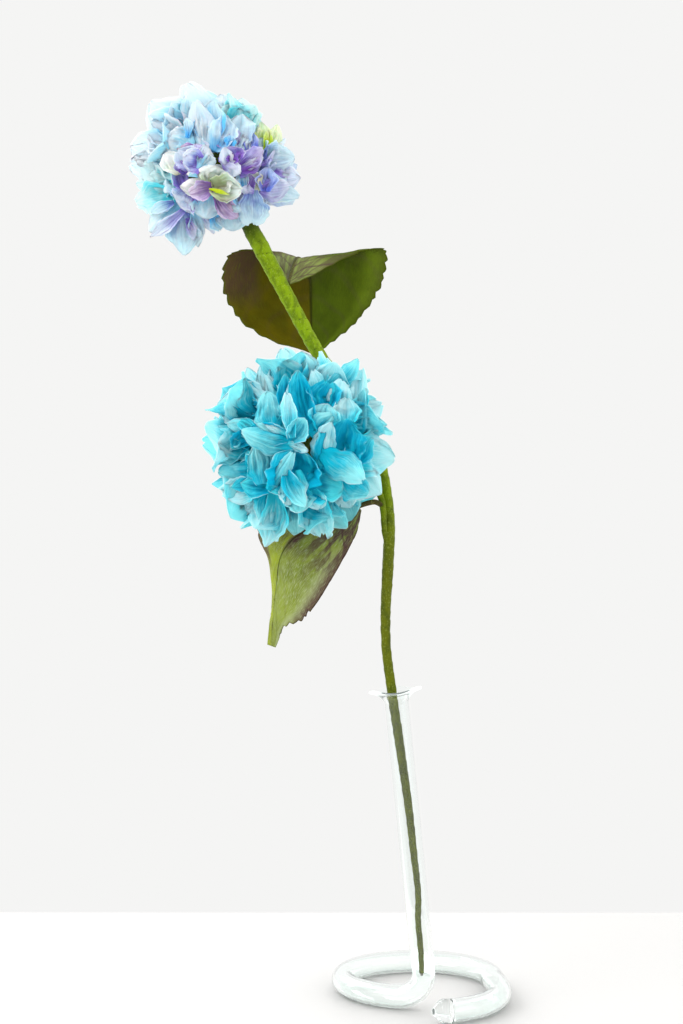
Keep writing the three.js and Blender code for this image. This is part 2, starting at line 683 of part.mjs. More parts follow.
function paint(color, roughness, more = {}) {
  return new THREE.MeshStandardMaterial({ color, roughness, metalness: 0, ...more });
}
const CLEAR_GLASS = paint(0xdfeceb, 0.05, { transparent: true, opacity: 0.35 });
const GREEN_CREPE = paint(0x6f8f14, 0.85);
const FLORIST_WIRE = paint(0x8a8a84, 0.4, { metalness: 1 });
const LEAF_PAPER = paint(0x5f6f1c, 0.8);
const TURQUOISE_PAPER = paint(0x5fd3e6, 0.8);
const LAVENDER_PAPER = paint(0xb9b4e4, 0.8);

const part = new THREE.Group();
const spray = new THREE.Group();
part.add(spray);

function addPiece(name, geometry, material) {
  geometry.computeVertexNormals();
  const mesh = new THREE.Mesh(geometry, material);
  mesh.name = name;
  spray.add(mesh);
}

const upperLeaf = leaf(UPPER_LEAF);
const lowerLeaf = leaf(LOWER_LEAF);

addPiece("glass_vase", glassVase(), CLEAR_GLASS);
addPiece("main_stem_wrap", stemWrap(MAIN_STEM_LINE), GREEN_CREPE);
addPiece("main_stem_wire", stemWire(MAIN_STEM_LINE), FLORIST_WIRE);
addPiece("branch_stem_wrap", stemWrap(BRANCH_STEM_LINE), GREEN_CREPE);
addPiece("branch_stem_wire", stemWire(BRANCH_STEM_LINE), FLORIST_WIRE);
addPiece("upper_leaf", toGeometry(upperLeaf), LEAF_PAPER);
addPiece("lower_leaf", toGeometry(lowerLeaf), LEAF_PAPER);
const lowerHead = flowerHead(LOWER_HEAD, [STEM_SPACE, leaf(LOWER_LEAF, GAP)]);
addPiece("lower_head", toGeometry(lowerHead), TURQUOISE_PAPER);
addPiece("upper_head", toGeometry(flowerHead(UPPER_HEAD, [STEM_SPACE])), LAVENDER_PAPER);

// The origin goes to the middle of the whole object's base.
const box = new THREE.Box3().setFromObject(part);
const baseMiddle = box.getCenter(v3(0, 0, 0));
spray.position.set(-baseMiddle.x, -baseMiddle.y, -box.min.z);

export default part;
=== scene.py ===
"""Crepe-paper hydrangeas on a wrapped wire stem, in a clear glass tube whose foot is a flat coil.

Places are in millimetres from the middle of the coil's ring on the table, with X to the viewer's right,
Y away from the viewer and Z up. set_in_frame() turns them into the frame's metres.
"""

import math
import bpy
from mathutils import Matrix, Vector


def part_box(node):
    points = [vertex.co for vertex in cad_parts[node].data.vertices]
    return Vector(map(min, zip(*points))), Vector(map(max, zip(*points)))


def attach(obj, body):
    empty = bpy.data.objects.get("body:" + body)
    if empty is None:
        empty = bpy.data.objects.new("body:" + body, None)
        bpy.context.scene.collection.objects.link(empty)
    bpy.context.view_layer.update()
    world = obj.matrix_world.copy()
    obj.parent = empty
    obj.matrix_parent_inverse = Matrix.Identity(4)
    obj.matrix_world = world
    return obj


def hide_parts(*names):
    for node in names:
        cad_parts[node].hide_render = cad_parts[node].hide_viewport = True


bl_info = {
    "name": "Paper Hydrangeas in a Bud Vase",
    "version": (1, 0, 0),
    "blender": (4, 5, 0),
    "location": "3D View > Sidebar > Hydrangeas",
    "description": "Crepe-paper hydrangeas on a wrapped stem in a coiled glass bud vase",
    "category": "Add Mesh",
}

import bpy
from mathutils import Matrix, Vector, kdtree, noise

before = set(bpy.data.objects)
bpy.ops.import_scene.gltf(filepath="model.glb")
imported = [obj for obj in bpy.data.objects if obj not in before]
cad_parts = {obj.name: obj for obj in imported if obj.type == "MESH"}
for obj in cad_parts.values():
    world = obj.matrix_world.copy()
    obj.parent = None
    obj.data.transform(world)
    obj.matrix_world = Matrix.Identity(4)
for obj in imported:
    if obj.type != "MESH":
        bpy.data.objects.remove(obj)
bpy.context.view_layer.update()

MM = 0.001

# ---- Places and sizes that the pieces share -------------------------------------------------------------

COIL_RADIUS = 46.5  # of the ring, to the middle of the tube
COIL_START = math.radians(-108.5)  # where the foot's bend runs into the ring
COIL_TURN_TO_SPIRAL = math.radians(251.5)  # from there to where the outer stretch leaves the ring
SPIRAL_TURN = math.radians(82)  # the outer stretch on the right and in front
SPIRAL_WIDENING = 32.3  # how much farther out the tip lies
FOOT_BEND_RADIUS = 17.0
RIM_MIDDLE = Vector((-15.4, -46.5, 190.5))
LIP_HEIGHT = 8.5
LIP_WAVE = 1.1  # how far the lip's edge rises and falls
LIP_LOBES = 3
WIRE_BORE = 1.3  # of the wraps, to the wire in them
TABLE_BACK = 231.0  # the table's back edge behind the ring's middle
CAMERA_PLACE = Vector((-47.5, -1190.0, 297.0))
CAMERA_LENS = 67.3  # mm on a frame 36 mm high
PIXEL_REACH = 1914.0  # the camera's focal length in picture pixels
PICTURE_MIDDLE = (341.5, 512.0)

# The solids' tube is a twelve-sided prism of radius 7 that lies on a flat side. Its ring's left and back
# ends say where the ring's middle is in the frame.
CAD_TUBE_FLAT = 7.0 * math.cos(math.radians(15))
CAD_TUBE_REACH = COIL_RADIUS + CAD_TUBE_FLAT
_vase_low, _vase_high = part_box("glass_vase")
SHIFT = Vector((_vase_low.x / MM + CAD_TUBE_REACH, _vase_high.y / MM - CAD_TUBE_REACH, 0.0))


def set_in_frame(point):
    return (Vector(point[:3]) + SHIFT) * MM


def linear(code):
    """An sRGB hex colour as linear red, green, blue and an alpha of 1."""
    parts = [int(code[i : i + 2], 16) / 255 for i in (1, 3, 5)]
    return (*((c / 12.92 if c <= 0.04045 else ((c + 0.055) / 1.055) ** 2.4) for c in parts), 1.0)


def seeded_draws(seed):
    """Repeatable numbers between 0 and 1, the same row that the solids' petals were drawn with."""
    word = 0xFFFFFFFF
    state = seed & word

    def draw():
        nonlocal state
        state = (state + 0x6D2B79F5) & word
        t = ((state ^ (state >> 15)) * (1 | state)) & word
        t = ((t + (((t ^ (t >> 7)) * (61 | t)) & word)) & word) ^ t
        return ((t ^ (t >> 14)) & word) / 4294967296

    return draw


def smoothstep(x, low=0.0, high=1.0):
    t = min(1.0, max(0.0, (x - low) / (high - low)))
    return t * t * (3 - 2 * t)


def mix(a, b, share):
    return a + (b - a) * share


def ripple(*place):
    """Smooth noise at three numbers, from about -1 to 1."""
    return noise.noise(Vector(place))


# ---- Settings -------------------------------------------------------------------------------------------


def size_setting(name, description, default, low, high):
    return bpy.props.FloatProperty(name=name, description=description, default=default, min=low, max=high)


def colour_setting(name, description, code):
    return bpy.props.FloatVectorProperty(
        name=name, description=description, default=linear(code), subtype="COLOR", size=4, min=0, max=1
    )


class HydrangeaSizes(bpy.types.PropertyGroup):
    tube_radius: size_setting("Tube radius", "Outer radius of the glass tube, mm", 7.0, 5.0, 12.0)
    tube_wall: size_setting("Tube wall", "Thickness of the glass, mm", 1.8, 0.8, 3.0)
    lip_radius: size_setting("Lip radius", "Radius of the flared lip, mm", 16.0, 10.0, 22.0)
    petal_paper: size_setting("Petal paper", "Thickness of a petal's crepe paper, mm", 0.3, 0.1, 0.8)
    leaf_paper: size_setting("Leaf paper", "Thickness of a leaf's doubled paper, mm", 0.7, 0.3, 1.2)
    wrap_pitch: size_setting("Wrap pitch", "Rise of the stem's paper strip in one turn, mm", 7.5, 3.0, 15.0)
    wrap_step: size_setting("Wrap step", "Thickness of the strip's edge, mm", 0.22, 0.0, 0.6)
    stalk_radius: size_setting("Stalk radius", "Radius of a floret's wrapped stalk, mm", 0.75, 0.4, 1.2)


# Dyed papers, each as its colours at the petal's root, at its tip and on its rim.
DYED_PAPERS = {
    "deep_turquoise": ("#0096B8", "#48D0E0", "#B4E8F0"),
    "turquoise": ("#00A4C2", "#86E2EC", "#D2F0F6"),
    "pale_aqua": ("#22BED6", "#AAECF6", "#CCF2F8"),
    "ice": ("#8ACBEE", "#CBE4EF", "#F0BCD6"),
    "sky": ("#52A2E4", "#BEE2F4", "#DFEFF8"),
    "lavender": ("#7E68BE", "#CAD8F2", "#DEEAF6"),
    "violet": ("#704AA2", "#BEBAE4", "#D4DCF0"),
    "seafoam": ("#50C6D8", "#C4EEEF", "#9FE6C0"),
    "greenish": ("#D2DEA0", "#E9F5EE", "#F0F6F0"),
    "lime": ("#B6D024", "#D8EEB4", "#D5F0D8"),
    "rose": ("#7C5494", "#CDBAD8", "#E8DCE4"),
    # Cream's dull olive root is partly painted shade, standing for the shade inside the white-green floret's
    # bowl.
    "cream": ("#A2A882", "#E0F4EA", "#F4F8F0"),
    "indigo": ("#525CBE", "#A8B4EC", "#CCD8F4"),
    "slate": ("#6068B0", "#BCDDEE", "#DDECD8"),
}


class HydrangeaColours(bpy.types.PropertyGroup):
    __annotations__ = {
        f"{paper}_{zone}": colour_setting(
            f"{paper} {zone}".replace("_", " ").capitalize(), f"Dye at the petal's {zone}", code
        )
        for paper, codes in DYED_PAPERS.items()
        for zone, code in zip(("root", "tip", "rim"), codes)
    }
    glass: colour_setting("Glass", "Tint of the clear glass", "#FCFFFE")
    stem_low: colour_setting("Stem low", "Wrap's green at the foot of the stem", "#586000")
    stem_high: colour_setting("Stem high", "Wrap's green near the upper head", "#7E9A04")


# ---- Node and mesh helpers ------------------------------------------------------------------------------

# The nodes that the finishes are made of, each with Blender's name for it, its settings, the sockets that
# its values go to in turn, and its output. Where the output is None, all of them are given back.
NODE_KINDS = {
    "place": ("ShaderNodeTexCoord", {}, (), "Object"),
    "paper": ("ShaderNodeUVMap", {"uv_map": "paper"}, (), 0),
    "marks": ("ShaderNodeAttribute", {}, (), "Vector"),
    "dye": ("ShaderNodeAttribute", {}, (), "Color"),
    "axes": ("ShaderNodeSeparateXYZ", {}, (0,), None),
    "ray": ("ShaderNodeLightPath", {}, (), None),
    "stretch": ("ShaderNodeMapping", {}, ("Vector", "Scale"), 0),
    "noise": ("ShaderNodeTexNoise", {}, ("Vector", "Scale", "Detail"), 0),
    "spread": ("ShaderNodeMapRange", {"interpolation_type": "SMOOTHSTEP"}, range(5), 0),
    "times": ("ShaderNodeMath", {"operation": "MULTIPLY"}, (0, 1), 0),
    "plus": ("ShaderNodeMath", {"operation": "ADD"}, (0, 1), 0),
    "minus": ("ShaderNodeMath", {"operation": "SUBTRACT"}, (0, 1), 0),
    "larger": ("ShaderNodeMath", {"operation": "MAXIMUM"}, (0, 1), 0),
    "unsigned": ("ShaderNodeMath", {"operation": "ABSOLUTE"}, (0,), 0),
    "mix": ("ShaderNodeMix", {"data_type": "RGBA"}, (0, 6, 7), 2),
    "bump": ("ShaderNodeBump", {}, ("Strength", "Distance", "Height"), 0),
    "background": ("ShaderNodeBackground", {}, ("Color", "Strength"), 0),
    "world": ("ShaderNodeOutputWorld", {}, ("Surface",), None),
    "surface": ("ShaderNodeOutputMaterial", {}, ("Surface",), None),
}


class Finish:
    """The nodes of a material or of the world."""

    def __init__(self, owner):
        owner.use_nodes = True
        self.owner, self.tree = owner, owner.node_tree
        self.tree.nodes.clear()

    def add(self, kind, *values, sockets=None, **settings):
        """Adds a node, sets it, and gives its sockets values or other nodes' outputs.

        A kind that isn't in NODE_KINDS goes by Blender's name for it.
        """
        name, fixed, order, output = NODE_KINDS.get(kind, (kind, {}, (), 0))
        node = self.tree.nodes.new(name)
        for key, value in {**fixed, **settings}.items():
            setattr(node, key, value)
        for socket, value in [*zip(order, values), *(sockets or {}).items()]:
            if isinstance(value, bpy.types.NodeSocket):
                self.tree.links.new(value, node.inputs[socket])
            else:
                node.inputs[socket].default_value = value
        return node.outputs if output is None else node.outputs[output]

    def grain(self, vector, scale, detail=2.0):
        """Noise stretched by a scale given for each axis, in cells per metre."""
        return self.add("noise", self.add("stretch", vector, scale), 1.0, detail)

    def window(self, value, low, high, soft):
        """1 between low and high, fading to 0 over soft on both sides."""
        rise = self.add("spread", value, low - soft, low + soft)
        return self.add("times", rise, self.add("spread", value, high + soft, high - soft))

    def done(self, sockets):
        """Ends the material in a surface with these sockets."""
        self.add("surface", self.add("ShaderNodeBsdfPrincipled", sockets=sockets))
        return self.owner


def deselect():
    for o in bpy.context.selected_objects:
        o.select_set(False)


def make_active(piece):
    deselect()
    piece.select_set(True)
    bpy.context.view_layer.objects.active = piece


def apply_modifier(piece, kind, **settings):
    make_active(piece)
    modifier = piece.modifiers.new(kind.title(), kind)
    for name, value in settings.items():
        setattr(modifier, name, value)
    bpy.ops.object.modifier_apply(modifier=modifier.name)


class Sheets:
    """Collects the points and faces of one piece, with the values that its material reads."""

    def __init__(self):
        self.points, self.faces, self.corners, self.values = [], [], [], {}

    def add(self, rows, closed=False, uv=None, **values):
        """Rows of points in mm; closed joins each row's ends. uv and values are given for each point."""
        start, columns = len(self.points), len(rows[0])
        for r, row in enumerate(rows):
            for c, point in enumerate(row):
                self.points.append(set_in_frame(point))
                for name, value in values.items():
                    self.values.setdefault(name, []).append(value[r][c] if isinstance(value, list) else value)
        reach = columns if closed else columns - 1
        for r in range(len(rows) - 1):
            for c in range(reach):
                d = (c + 1) % columns
                face = [(r, c, c), (r, d, c + 1), (r + 1, d, c + 1), (r + 1, c, c)]
                self.faces.append([start + row * columns + column for row, column, _ in face])
                self.corners.extend(uv(row, step) if uv else (0.0, 0.0) for row, _, step in face)

    def add_closed(self, rings, **values):
        """Rings of points joined to a skin that is closed at both ends."""
        start, sides = len(self.points), len(rings[0])
        self.add(rings, closed=True, **values)
        self.cap(start, sides, backwards=True)
        self.cap(len(self.points) - sides, sides)

    def cap(self, start, count, backwards=False):
        ring = list(range(start, start + count))
        self.faces.append(ring[::-1] if backwards else ring)
        self.corners.extend((0.0, 0.0) for _ in ring)

    def build(self, name, material):
        mesh = bpy.data.meshes.new(name)
        mesh.from_pydata(self.points, [], self.faces)
        layer = mesh.uv_layers.new(name="paper")
        for corner, uv in zip(layer.data, self.corners):
            corner.uv = uv
        for key, values in self.values.items():
            kind, field = ("FLOAT_COLOR", "color") if len(values[0]) == 4 else ("FLOAT_VECTOR", "vector")
            attribute = mesh.attributes.new(key, kind, "POINT")
            attribute.data.foreach_set(field, [x for value in values for x in value])
        for face in mesh.polygons:
            face.use_smooth = True
        mesh.materials.append(material)
        mesh.validate()
        piece = bpy.data.objects.new(name, mesh)
        bpy.context.scene.collection.objects.link(piece)
        return piece


def curve_at(stations, t):
    """The place on the centripetal Catmull-Rom curve through the stations, with t from 0 to 1."""
    last = len(stations) - 1
    at = min(t * last, last - 1e-9)
    i = int(at)
    f = at - i
    p1, p2 = Vector(stations[i]), Vector(stations[i + 1])
    p0 = Vector(stations[i - 1]) if i > 0 else 2 * p1 - p2
    p3 = Vector(stations[i + 2]) if i + 2 <= last else 2 * p2 - p1
    d0, d1, d2 = (max(1e-4, (b - a).length) ** 0.5 for a, b in ((p0, p1), (p1, p2), (p2, p3)))
    m1 = ((p1 - p0) / d0 - (p2 - p0) / (d0 + d1) + (p2 - p1) / d1) * d1
    m2 = ((p2 - p1) / d1 - (p3 - p1) / (d1 + d2) + (p3 - p2) / d2) * d1
    f2, f3 = f * f, f * f * f
    return p1 * (2 * f3 - 3 * f2 + 1) + m1 * (f3 - 2 * f2 + f) + p2 * (3 * f2 - 2 * f3) + m2 * (f3 - f2)


def evenly_spaced(stations, step):
    """Points about a step apart along the smooth curve, each with its radius as the fourth number."""
    fine = 600
    dense = [curve_at(stations, i / fine) for i in range(fine + 1)]
    lengths = [0.0]
    for a, b in zip(dense, dense[1:]):
        lengths.append(lengths[-1] + (b.xyz - a.xyz).length)
    count = max(2, round(lengths[-1] / step))
    points, j = [], 0
    for i in range(count + 1):
        target = lengths[-1] * i / count
        while j < fine - 1 and lengths[j + 1] < target:
            j += 1
        span = lengths[j + 1] - lengths[j]
        points.append(dense[j].lerp(dense[j + 1], (target - lengths[j]) / span if span else 0))
    return points, lengths[-1] / count


def carried_frames(points, up):
    """A point, direction, up and side for each point, turned no more than the line turns."""
    frames = []
    up = Vector(up)
    for i, point in enumerate(points):
        along = (points[min(i + 1, len(points) - 1)] - points[max(i - 1, 0)]).normalized()
        up = (up - along * up.dot(along)).normalized()
        frames.append((point, along, up.copy(), up.cross(along)))
    return frames


def ring_round(place, radius, sides, advance=0.0):
    """A ring round a frame. The radius and the advance along it may be functions of the angle."""
    point, along, up, side = place
    ring = []
    for i in range(sides):
        angle = 2 * math.pi * i / sides
        r = radius(angle) if callable(radius) else radius
        forward = advance(angle) if callable(advance) else advance
        ring.append(point + side * (math.cos(angle) * r) + up * (math.sin(angle) * r) + along * forward)
    return ring


def settle(piece, slot, *nodes):
    """The piece rides on the one body and stands for the nodes; slot is not used."""
    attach(piece, "root")
    if nodes:
        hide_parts(*nodes)


# ---- Glass vase -----------------------------------------------------------------------------------------


def drawn_soda_glass(tint):
    """Clear drawn soda-lime glass, flame-worked: smooth and bright, with a grey line where it is edge-on."""
    finish = Finish(bpy.data.materials.new("drawn_soda_lime_glass"))
    place = finish.add("place")
    # Drawing the tube leaves shallow waves about 25 mm long.
    waves = finish.grain(place, (60, 60, 40), 1.0)
    # A painted glow: where rays have gone to and fro in the wall, the glass emits a pale light, so it comes
    # out pale, not black, most of all in the thin lip.
    depth = finish.add("ray")["Ray Depth"]
    height = finish.add("axes", place)[2]
    in_lip = finish.add("spread", height, 0.185, 0.189)
    painted_lip_glow = finish.add("times", in_lip, finish.add("spread", depth, 1.5, 4.5, 0.0, 0.6))
    painted_glow = finish.add("plus", painted_lip_glow, finish.add("spread", depth, 4.0, 8.0, 0.0, 0.5))
    inputs = {
        "Base Color": tint,
        "Roughness": 0.0,
        "IOR": 1.5,
        "Specular IOR Level": 0.25,
        "Transmission Weight": 1.0,
        "Emission Color": linear("#DEE8E5"),
        "Emission Strength": painted_glow,
        "Normal": finish.add("bump", 0.04, 0.001, waves),
    }
    return finish.done(inputs)


def coil_point(turn, height):
    radius = COIL_RADIUS + SPIRAL_WIDENING * smoothstep((turn - COIL_TURN_TO_SPIRAL) / SPIRAL_TURN)
    angle = COIL_START - turn
    return Vector((math.cos(angle) * radius, math.sin(angle) * radius, height))


ENTRY_ALONG = Vector((math.sin(COIL_START), -math.cos(COIL_START), 0))
FOOT_TOP = coil_point(0, CAD_TUBE_FLAT) - ENTRY_ALONG * FOOT_BEND_RADIUS + Vector((0, 0, FOOT_BEND_RADIUS))
TUBE_ALONG = (RIM_MIDDLE - FOOT_TOP).normalized()


def vase_line(height):
    """The tube's middle from the sealed tip round the coil, up the bend and to the throat under the lip."""
    coil_steps, bend_steps, upright_steps = 170, 14, 40
    whole = COIL_TURN_TO_SPIRAL + SPIRAL_TURN
    line = [coil_point(whole * (1 - i / coil_steps), height) for i in range(coil_steps)]
    entry = coil_point(0, height)
    handle = FOOT_BEND_RADIUS * 0.58  # the bend then comes close to a quarter circle
    a, b = entry - ENTRY_ALONG * handle, FOOT_TOP - TUBE_ALONG * handle
    for i in range(bend_steps + 1):
        t = i / bend_steps
        s = 1 - t
        line.append(entry * s**3 + a * (3 * s * s * t) + b * (3 * s * t * t) + FOOT_TOP * t**3)
    throat = RIM_MIDDLE - TUBE_ALONG * LIP_HEIGHT
    line.extend(FOOT_TOP.lerp(throat, (i + 1) / upright_steps) for i in range(upright_steps))
    return line


class HYDRANGEA_OT_vase(bpy.types.Operator):
    """Adds the drawn glass tube: flared wavy lip, upright, foot bend, coil and sealed tip"""

    bl_idname = "hydrangea.vase"
    bl_label = "Glass Vase"

    def execute(self, context):
        sizes, colours = context.scene.hydrangea_sizes, context.scene.hydrangea_colours
        radius, sides = sizes.tube_radius, 40
        bore = radius - sizes.tube_wall
        # The round tube is a little deeper than the solids' flat-sided one, so it lies that much higher.
        frames = carried_frames(vase_line(CAD_TUBE_FLAT + 0.24), (0, 0, 1))
        tip, throat = frames[0], frames[-1]

        def lip_ring(height, ring_radius):
            share = max(0.0, (ring_radius - radius) / (sizes.lip_radius - radius))

            def advance(angle):
                return height + LIP_WAVE * share * math.sin(LIP_LOBES * angle + 0.6)

            return ring_round(throat, ring_radius, sides, advance)

        # The fire-polished lip: outside going up, round the edge and down the inside.
        lip = sizes.lip_radius
        profile = [
            (1.2, radius), (3, radius + 0.7), (4.4, radius + 1.7), (5.6, radius + 3), (6.6, lip - 4.4),
            (7.3, lip - 2.4), (7.8, lip - 0.8), (8.2, lip - 0.1), (8.6, lip), (8.95, lip - 0.25),
            (9.0, lip - 0.8), (8.6, lip - 2), (7.7, lip - 4), (6.6, radius + 2), (5.5, radius + 0.6),
            (4.4, bore + 1.5), (3.1, bore + 0.7), (1.2, bore),
        ]
        # The tip was closed in the flame: it runs out round, with a low bead in its middle.
        seal = [(-6.2, 0.6), (-6.0, 1.5), (-5.3, 2.3), (-4.4, 3.3), (-3.2, 4.6), (-2.0, 5.7), (-0.9, 6.5)]
        rows = [ring_round(tip, r, sides, a) for a, r in seal]
        rows += [ring_round(place, radius, sides) for place in frames]
        rows += [lip_ring(height, r) for height, r in profile]
        rows += [ring_round(place, bore, sides) for place in reversed(frames[2:])]
        bore_end = [(0.0, bore * 0.8), (-1.2, bore * 0.5), (-1.7, bore * 0.12)]
        rows += [ring_round(frames[2], r, sides, a) for a, r in bore_end]
        glass = Sheets()
        glass.add_closed(rows)
        piece = glass.build("glass_tube_vase", drawn_soda_glass(tuple(colours.glass)))
        settle(piece, "clear_glass", "glass_vase")
        return {"FINISHED"}


# ---- Stems ----------------------------------------------------------------------------------------------


def in_tube(z, aside, back, radius):
    """A place in the tube, set from the tube's own middle at that height."""
    middle = FOOT_TOP + TUBE_ALONG * ((z - FOOT_TOP.z) / TUBE_ALONG.z)
    return (middle.x + aside, middle.y + back, z, radius)


# The stems' middle lines: x, y, z and radius.
MAIN_STEM = [
    in_tube(22, -1.2, 2.2, 1.5), in_tube(36, -0.4, 2.4, 1.8), in_tube(53, -0.2, 1.8, 1.85),
    in_tube(68, 1.4, 1.0, 1.9), in_tube(92, 1.3, 0.4, 2.1), in_tube(125, 0.8, -0.2, 2.4),
    in_tube(158, -0.6, 0, 2.7), in_tube(181, -1.8, 0.1, 2.85), in_tube(192, -2.2, 0.2, 2.9),
    (-20.6, -45, 214.4, 2.8), (-21.1, -42, 235.2, 3.0), (-19.5, -37, 265.1, 3.4), (-18.5, -32, 289.1, 3.3),
    (-19.9, -27, 307.3, 3.2), (-25.1, -17, 331.9, 3.4), (-34.9, -11, 354.9, 3.8), (-51.5, -7, 379.8, 4.1),
    (-62.0, -5, 395.4, 4.2), (-70.7, -5, 410.9, 4.4), (-80.6, -6, 429.4, 4.6), (-90.5, -7, 447.8, 5.0),
    (-99.7, -8, 465.0, 5.2), (-106.5, -8.5, 477.5, 4.6), (-113.0, -9, 489.5, 3.4),
    (-120.2, -9.7, 501.6, 2.6),
]

# The lower head's stem lies against the main stem, then turns forward and left to the head.
BRANCH_STEM = [
    (-20.2, -36.4, 275, 0.8), (-21.0, -36.9, 281, 1.5), (-21.75, -36.8, 287, 1.75), (-22.3, -34.1, 298, 1.9),
    (-24.0, -30.9, 307, 2.0), (-29.0, -29.8, 313.8, 2.2), (-37.0, -31.5, 319.2, 2.4),
    (-46.0, -35.5, 323.5, 2.4), (-55.0, -41.0, 328.5, 2.4), (-66.5, -45.4, 333.2, 2.3),
]


def floral_crepe_tape(name, low, high):
    """Waxed crepe floral tape, wound on by hand: matt, mottled, with paler worn strip edges."""
    finish = Finish(bpy.data.materials.new(name))
    place = finish.add("place")
    # The tape's height is counted in half metres.
    height, strip, _ = finish.add("axes", finish.add("marks", attribute_name="tape"))
    mottle = finish.grain(place, (260, 260, 150), 4.0)  # dye blotches of about 5 mm
    fleck = finish.grain(place, (1400, 1400, 900), 2.0)  # crepe grain of about 0.8 mm
    # Inside the glass, below about 190 mm, the tape has an olive of its own: painted light, set for how the
    # stem is lit through the glass.
    foot = finish.add("mix", finish.add("spread", height, 0.36, 0.42), linear("#606A00"), low)
    green = finish.add("mix", finish.add("spread", height, 0.52, 0.7), foot, high)
    # Where the upper head hides it, the tape is painted nearly black-green: painted shade under the head.
    green = finish.add("mix", finish.add("spread", height, 0.922, 0.948, 0.0, 0.85), green, linear("#1C2604"))
    dark = finish.add("mix", 0.62, green, linear("#2F3D08"))
    colour = finish.add("mix", finish.add("spread", mottle, 0.42, 0.64, 0.0, 0.75), green, dark)
    pale = finish.add("mix", 0.4, green, linear("#CBD67A"))
    colour = finish.add("mix", finish.add("spread", fleck, 0.55, 0.75, 0.0, 0.5), colour, pale)
    # The strip's paper is worn pale at its upper edge and dark along the seam under it.
    edge = finish.add("spread", strip, 0.9, 1.0, 0.0, 0.55)
    colour = finish.add("mix", edge, colour, pale)
    seam = finish.add("spread", strip, 0.0, 0.16, 0.85, 0.0)
    colour = finish.add("mix", seam, colour, linear("#39470A"))
    crepe = finish.add("plus", fleck, finish.add("times", mottle, 0.6))
    bump = finish.add("bump", 0.5, 0.0004, crepe)
    inputs = {
        "Base Color": colour,
        "Roughness": 0.6,
        "Specular IOR Level": 0.12,
        "Normal": bump,
    }
    return finish.done(inputs)


def tape_height(point):
    return point.z * MM * 2


def wrapped_stem(name, stations, sizes, material, seed):
    """A stem of paper strip wound round a wire: each turn laps the last and stands a little proud of it."""
    sides, ring_step = 28, 1.1
    points, step = evenly_spaced(stations, ring_step)
    frames = carried_frames([p.xyz for p in points], (0, 1, 0))
    rows, tape = [], []
    for i, (place, point) in enumerate(zip(frames, points)):
        travelled = i * step
        drift = 0.8 * ripple(travelled * 0.05, seed, 0)

        def strip_share(angle):
            return (travelled / sizes.wrap_pitch + angle / (2 * math.pi) + drift) % 1.0

        def radius(angle):
            lumps = ripple(travelled * 0.22, math.cos(angle) * 1.3 + seed, math.sin(angle) * 1.3)
            share = strip_share(angle)
            lap = sizes.wrap_step * (smoothstep(share, 0.0, 0.9) - 0.5)
            return point.w * (1 + 0.055 * lumps) + lap * (1 - smoothstep(share, 0.93, 1.0) * 0.7)

        rows.append(ring_round(place, radius, sides))
        angles = [2 * math.pi * k / sides for k in range(sides)]
        tape.append([(tape_height(point), strip_share(a), a / (2 * math.pi)) for a in angles])
    first, last = frames[0], frames[-1]
    # The paper closes over the wire's end at the foot of the stem.
    foot = [(0.4, min(WIRE_BORE, points[0].w * 0.6)), (0.05, points[0].w * 0.8)]
    rows = [ring_round(first, r, sides, a) for a, r in foot] + rows
    rows += [ring_round(last, points[-1].w * 0.8, sides, 0.1), ring_round(last, WIRE_BORE, sides, 0.0)]
    stem = Sheets()
    stem.add_closed(rows, tape=[tape[0]] * 2 + tape + [tape[-1]] * 2)
    return stem.build(name, material)


def annealed_florist_wire():
    """Annealed iron florist wire: grey, half dull from its oxide, with fine drawing lines."""
    finish = Finish(bpy.data.materials.new("annealed_florist_wire"))
    place = finish.add("place")
    scale = finish.grain(place, (2500, 2500, 500), 3.0)
    colour = finish.add("mix", scale, linear("#5E5B55"), linear("#96928A"))
    rough = finish.add("spread", scale, 0.2, 0.8, 0.35, 0.6)
    return finish.done({"Base Color": colour, "Metallic": 1.0, "Roughness": rough})


class HYDRANGEA_OT_stems(bpy.types.Operator):
    """Adds both wrapped stems and finishes the wires inside them"""

    bl_idname = "hydrangea.stems"
    bl_label = "Stems"

    def execute(self, context):
        sizes, colours = context.scene.hydrangea_sizes, context.scene.hydrangea_colours
        low, high = tuple(colours.stem_low), tuple(colours.stem_high)
        tape = floral_crepe_tape("waxed_crepe_stem_tape", low, high)
        wire = annealed_florist_wire()
        for stem, stations, seed in (("main_stem", MAIN_STEM, 3.0), ("branch_stem", BRANCH_STEM, 8.0)):
            wrap = wrapped_stem(stem + "_tape", stations, sizes, tape, seed)
            settle(wrap, "green_wrap", stem + "_wrap")
            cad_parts[stem + "_wire"].material_slots[0].material = wire
        return {"FINISHED"}


# ---- Leaves ---------------------------------------------------------------------------------------------

# Hung behind the stem like an umbrella: up and back from its stalk, over a ridge and down.
# The teeth of each edge are the shares of its length where they start and end, and their number.
UPPER_LEAF = {
    "left_teeth": (0.5, 0.98, 11),
    "right_teeth": (0.46, 0.98, 15),
    "stalk": [(-82.6, -0.6, 436.6, 1.5), (-80.9, 1.6, 439.4, 1.4), (-79.8, 6, 443.2, 1.2)],
    "belly": Vector((0, 0.5, 0.87)),
    "midrib": [
        (-80.7, -0.2, 438.6), (-79.2, 12, 447.7), (-75.8, 28, 458.6), (-71.6, 40, 457.7), (-67.8, 46, 446.8),
        (-67.2, 48, 430.9), (-66.6, 46, 414.5), (-63.9, 40, 398.5),
    ],
    "right": [
        (-79.6, 0.2, 438.6), (-68.0, 14, 445.0), (-55.5, 33, 453.7), (-40.7, 42, 462.4), (-18.8, 45, 466.5),
        (-21.0, 46, 444.0), (-37.5, 46, 419.7), (-62.8, 40, 398.3),
    ],
    "left": [
        (-81.6, 0.2, 438.6), (-91.0, 13, 446.0), (-98.3, 33, 456.9), (-105.1, 42, 465.6), (-122.0, 46, 462.0),
        (-124.0, 46, 438.0), (-106.5, 44, 414.3), (-65.0, 40, 398.3),
    ],
}

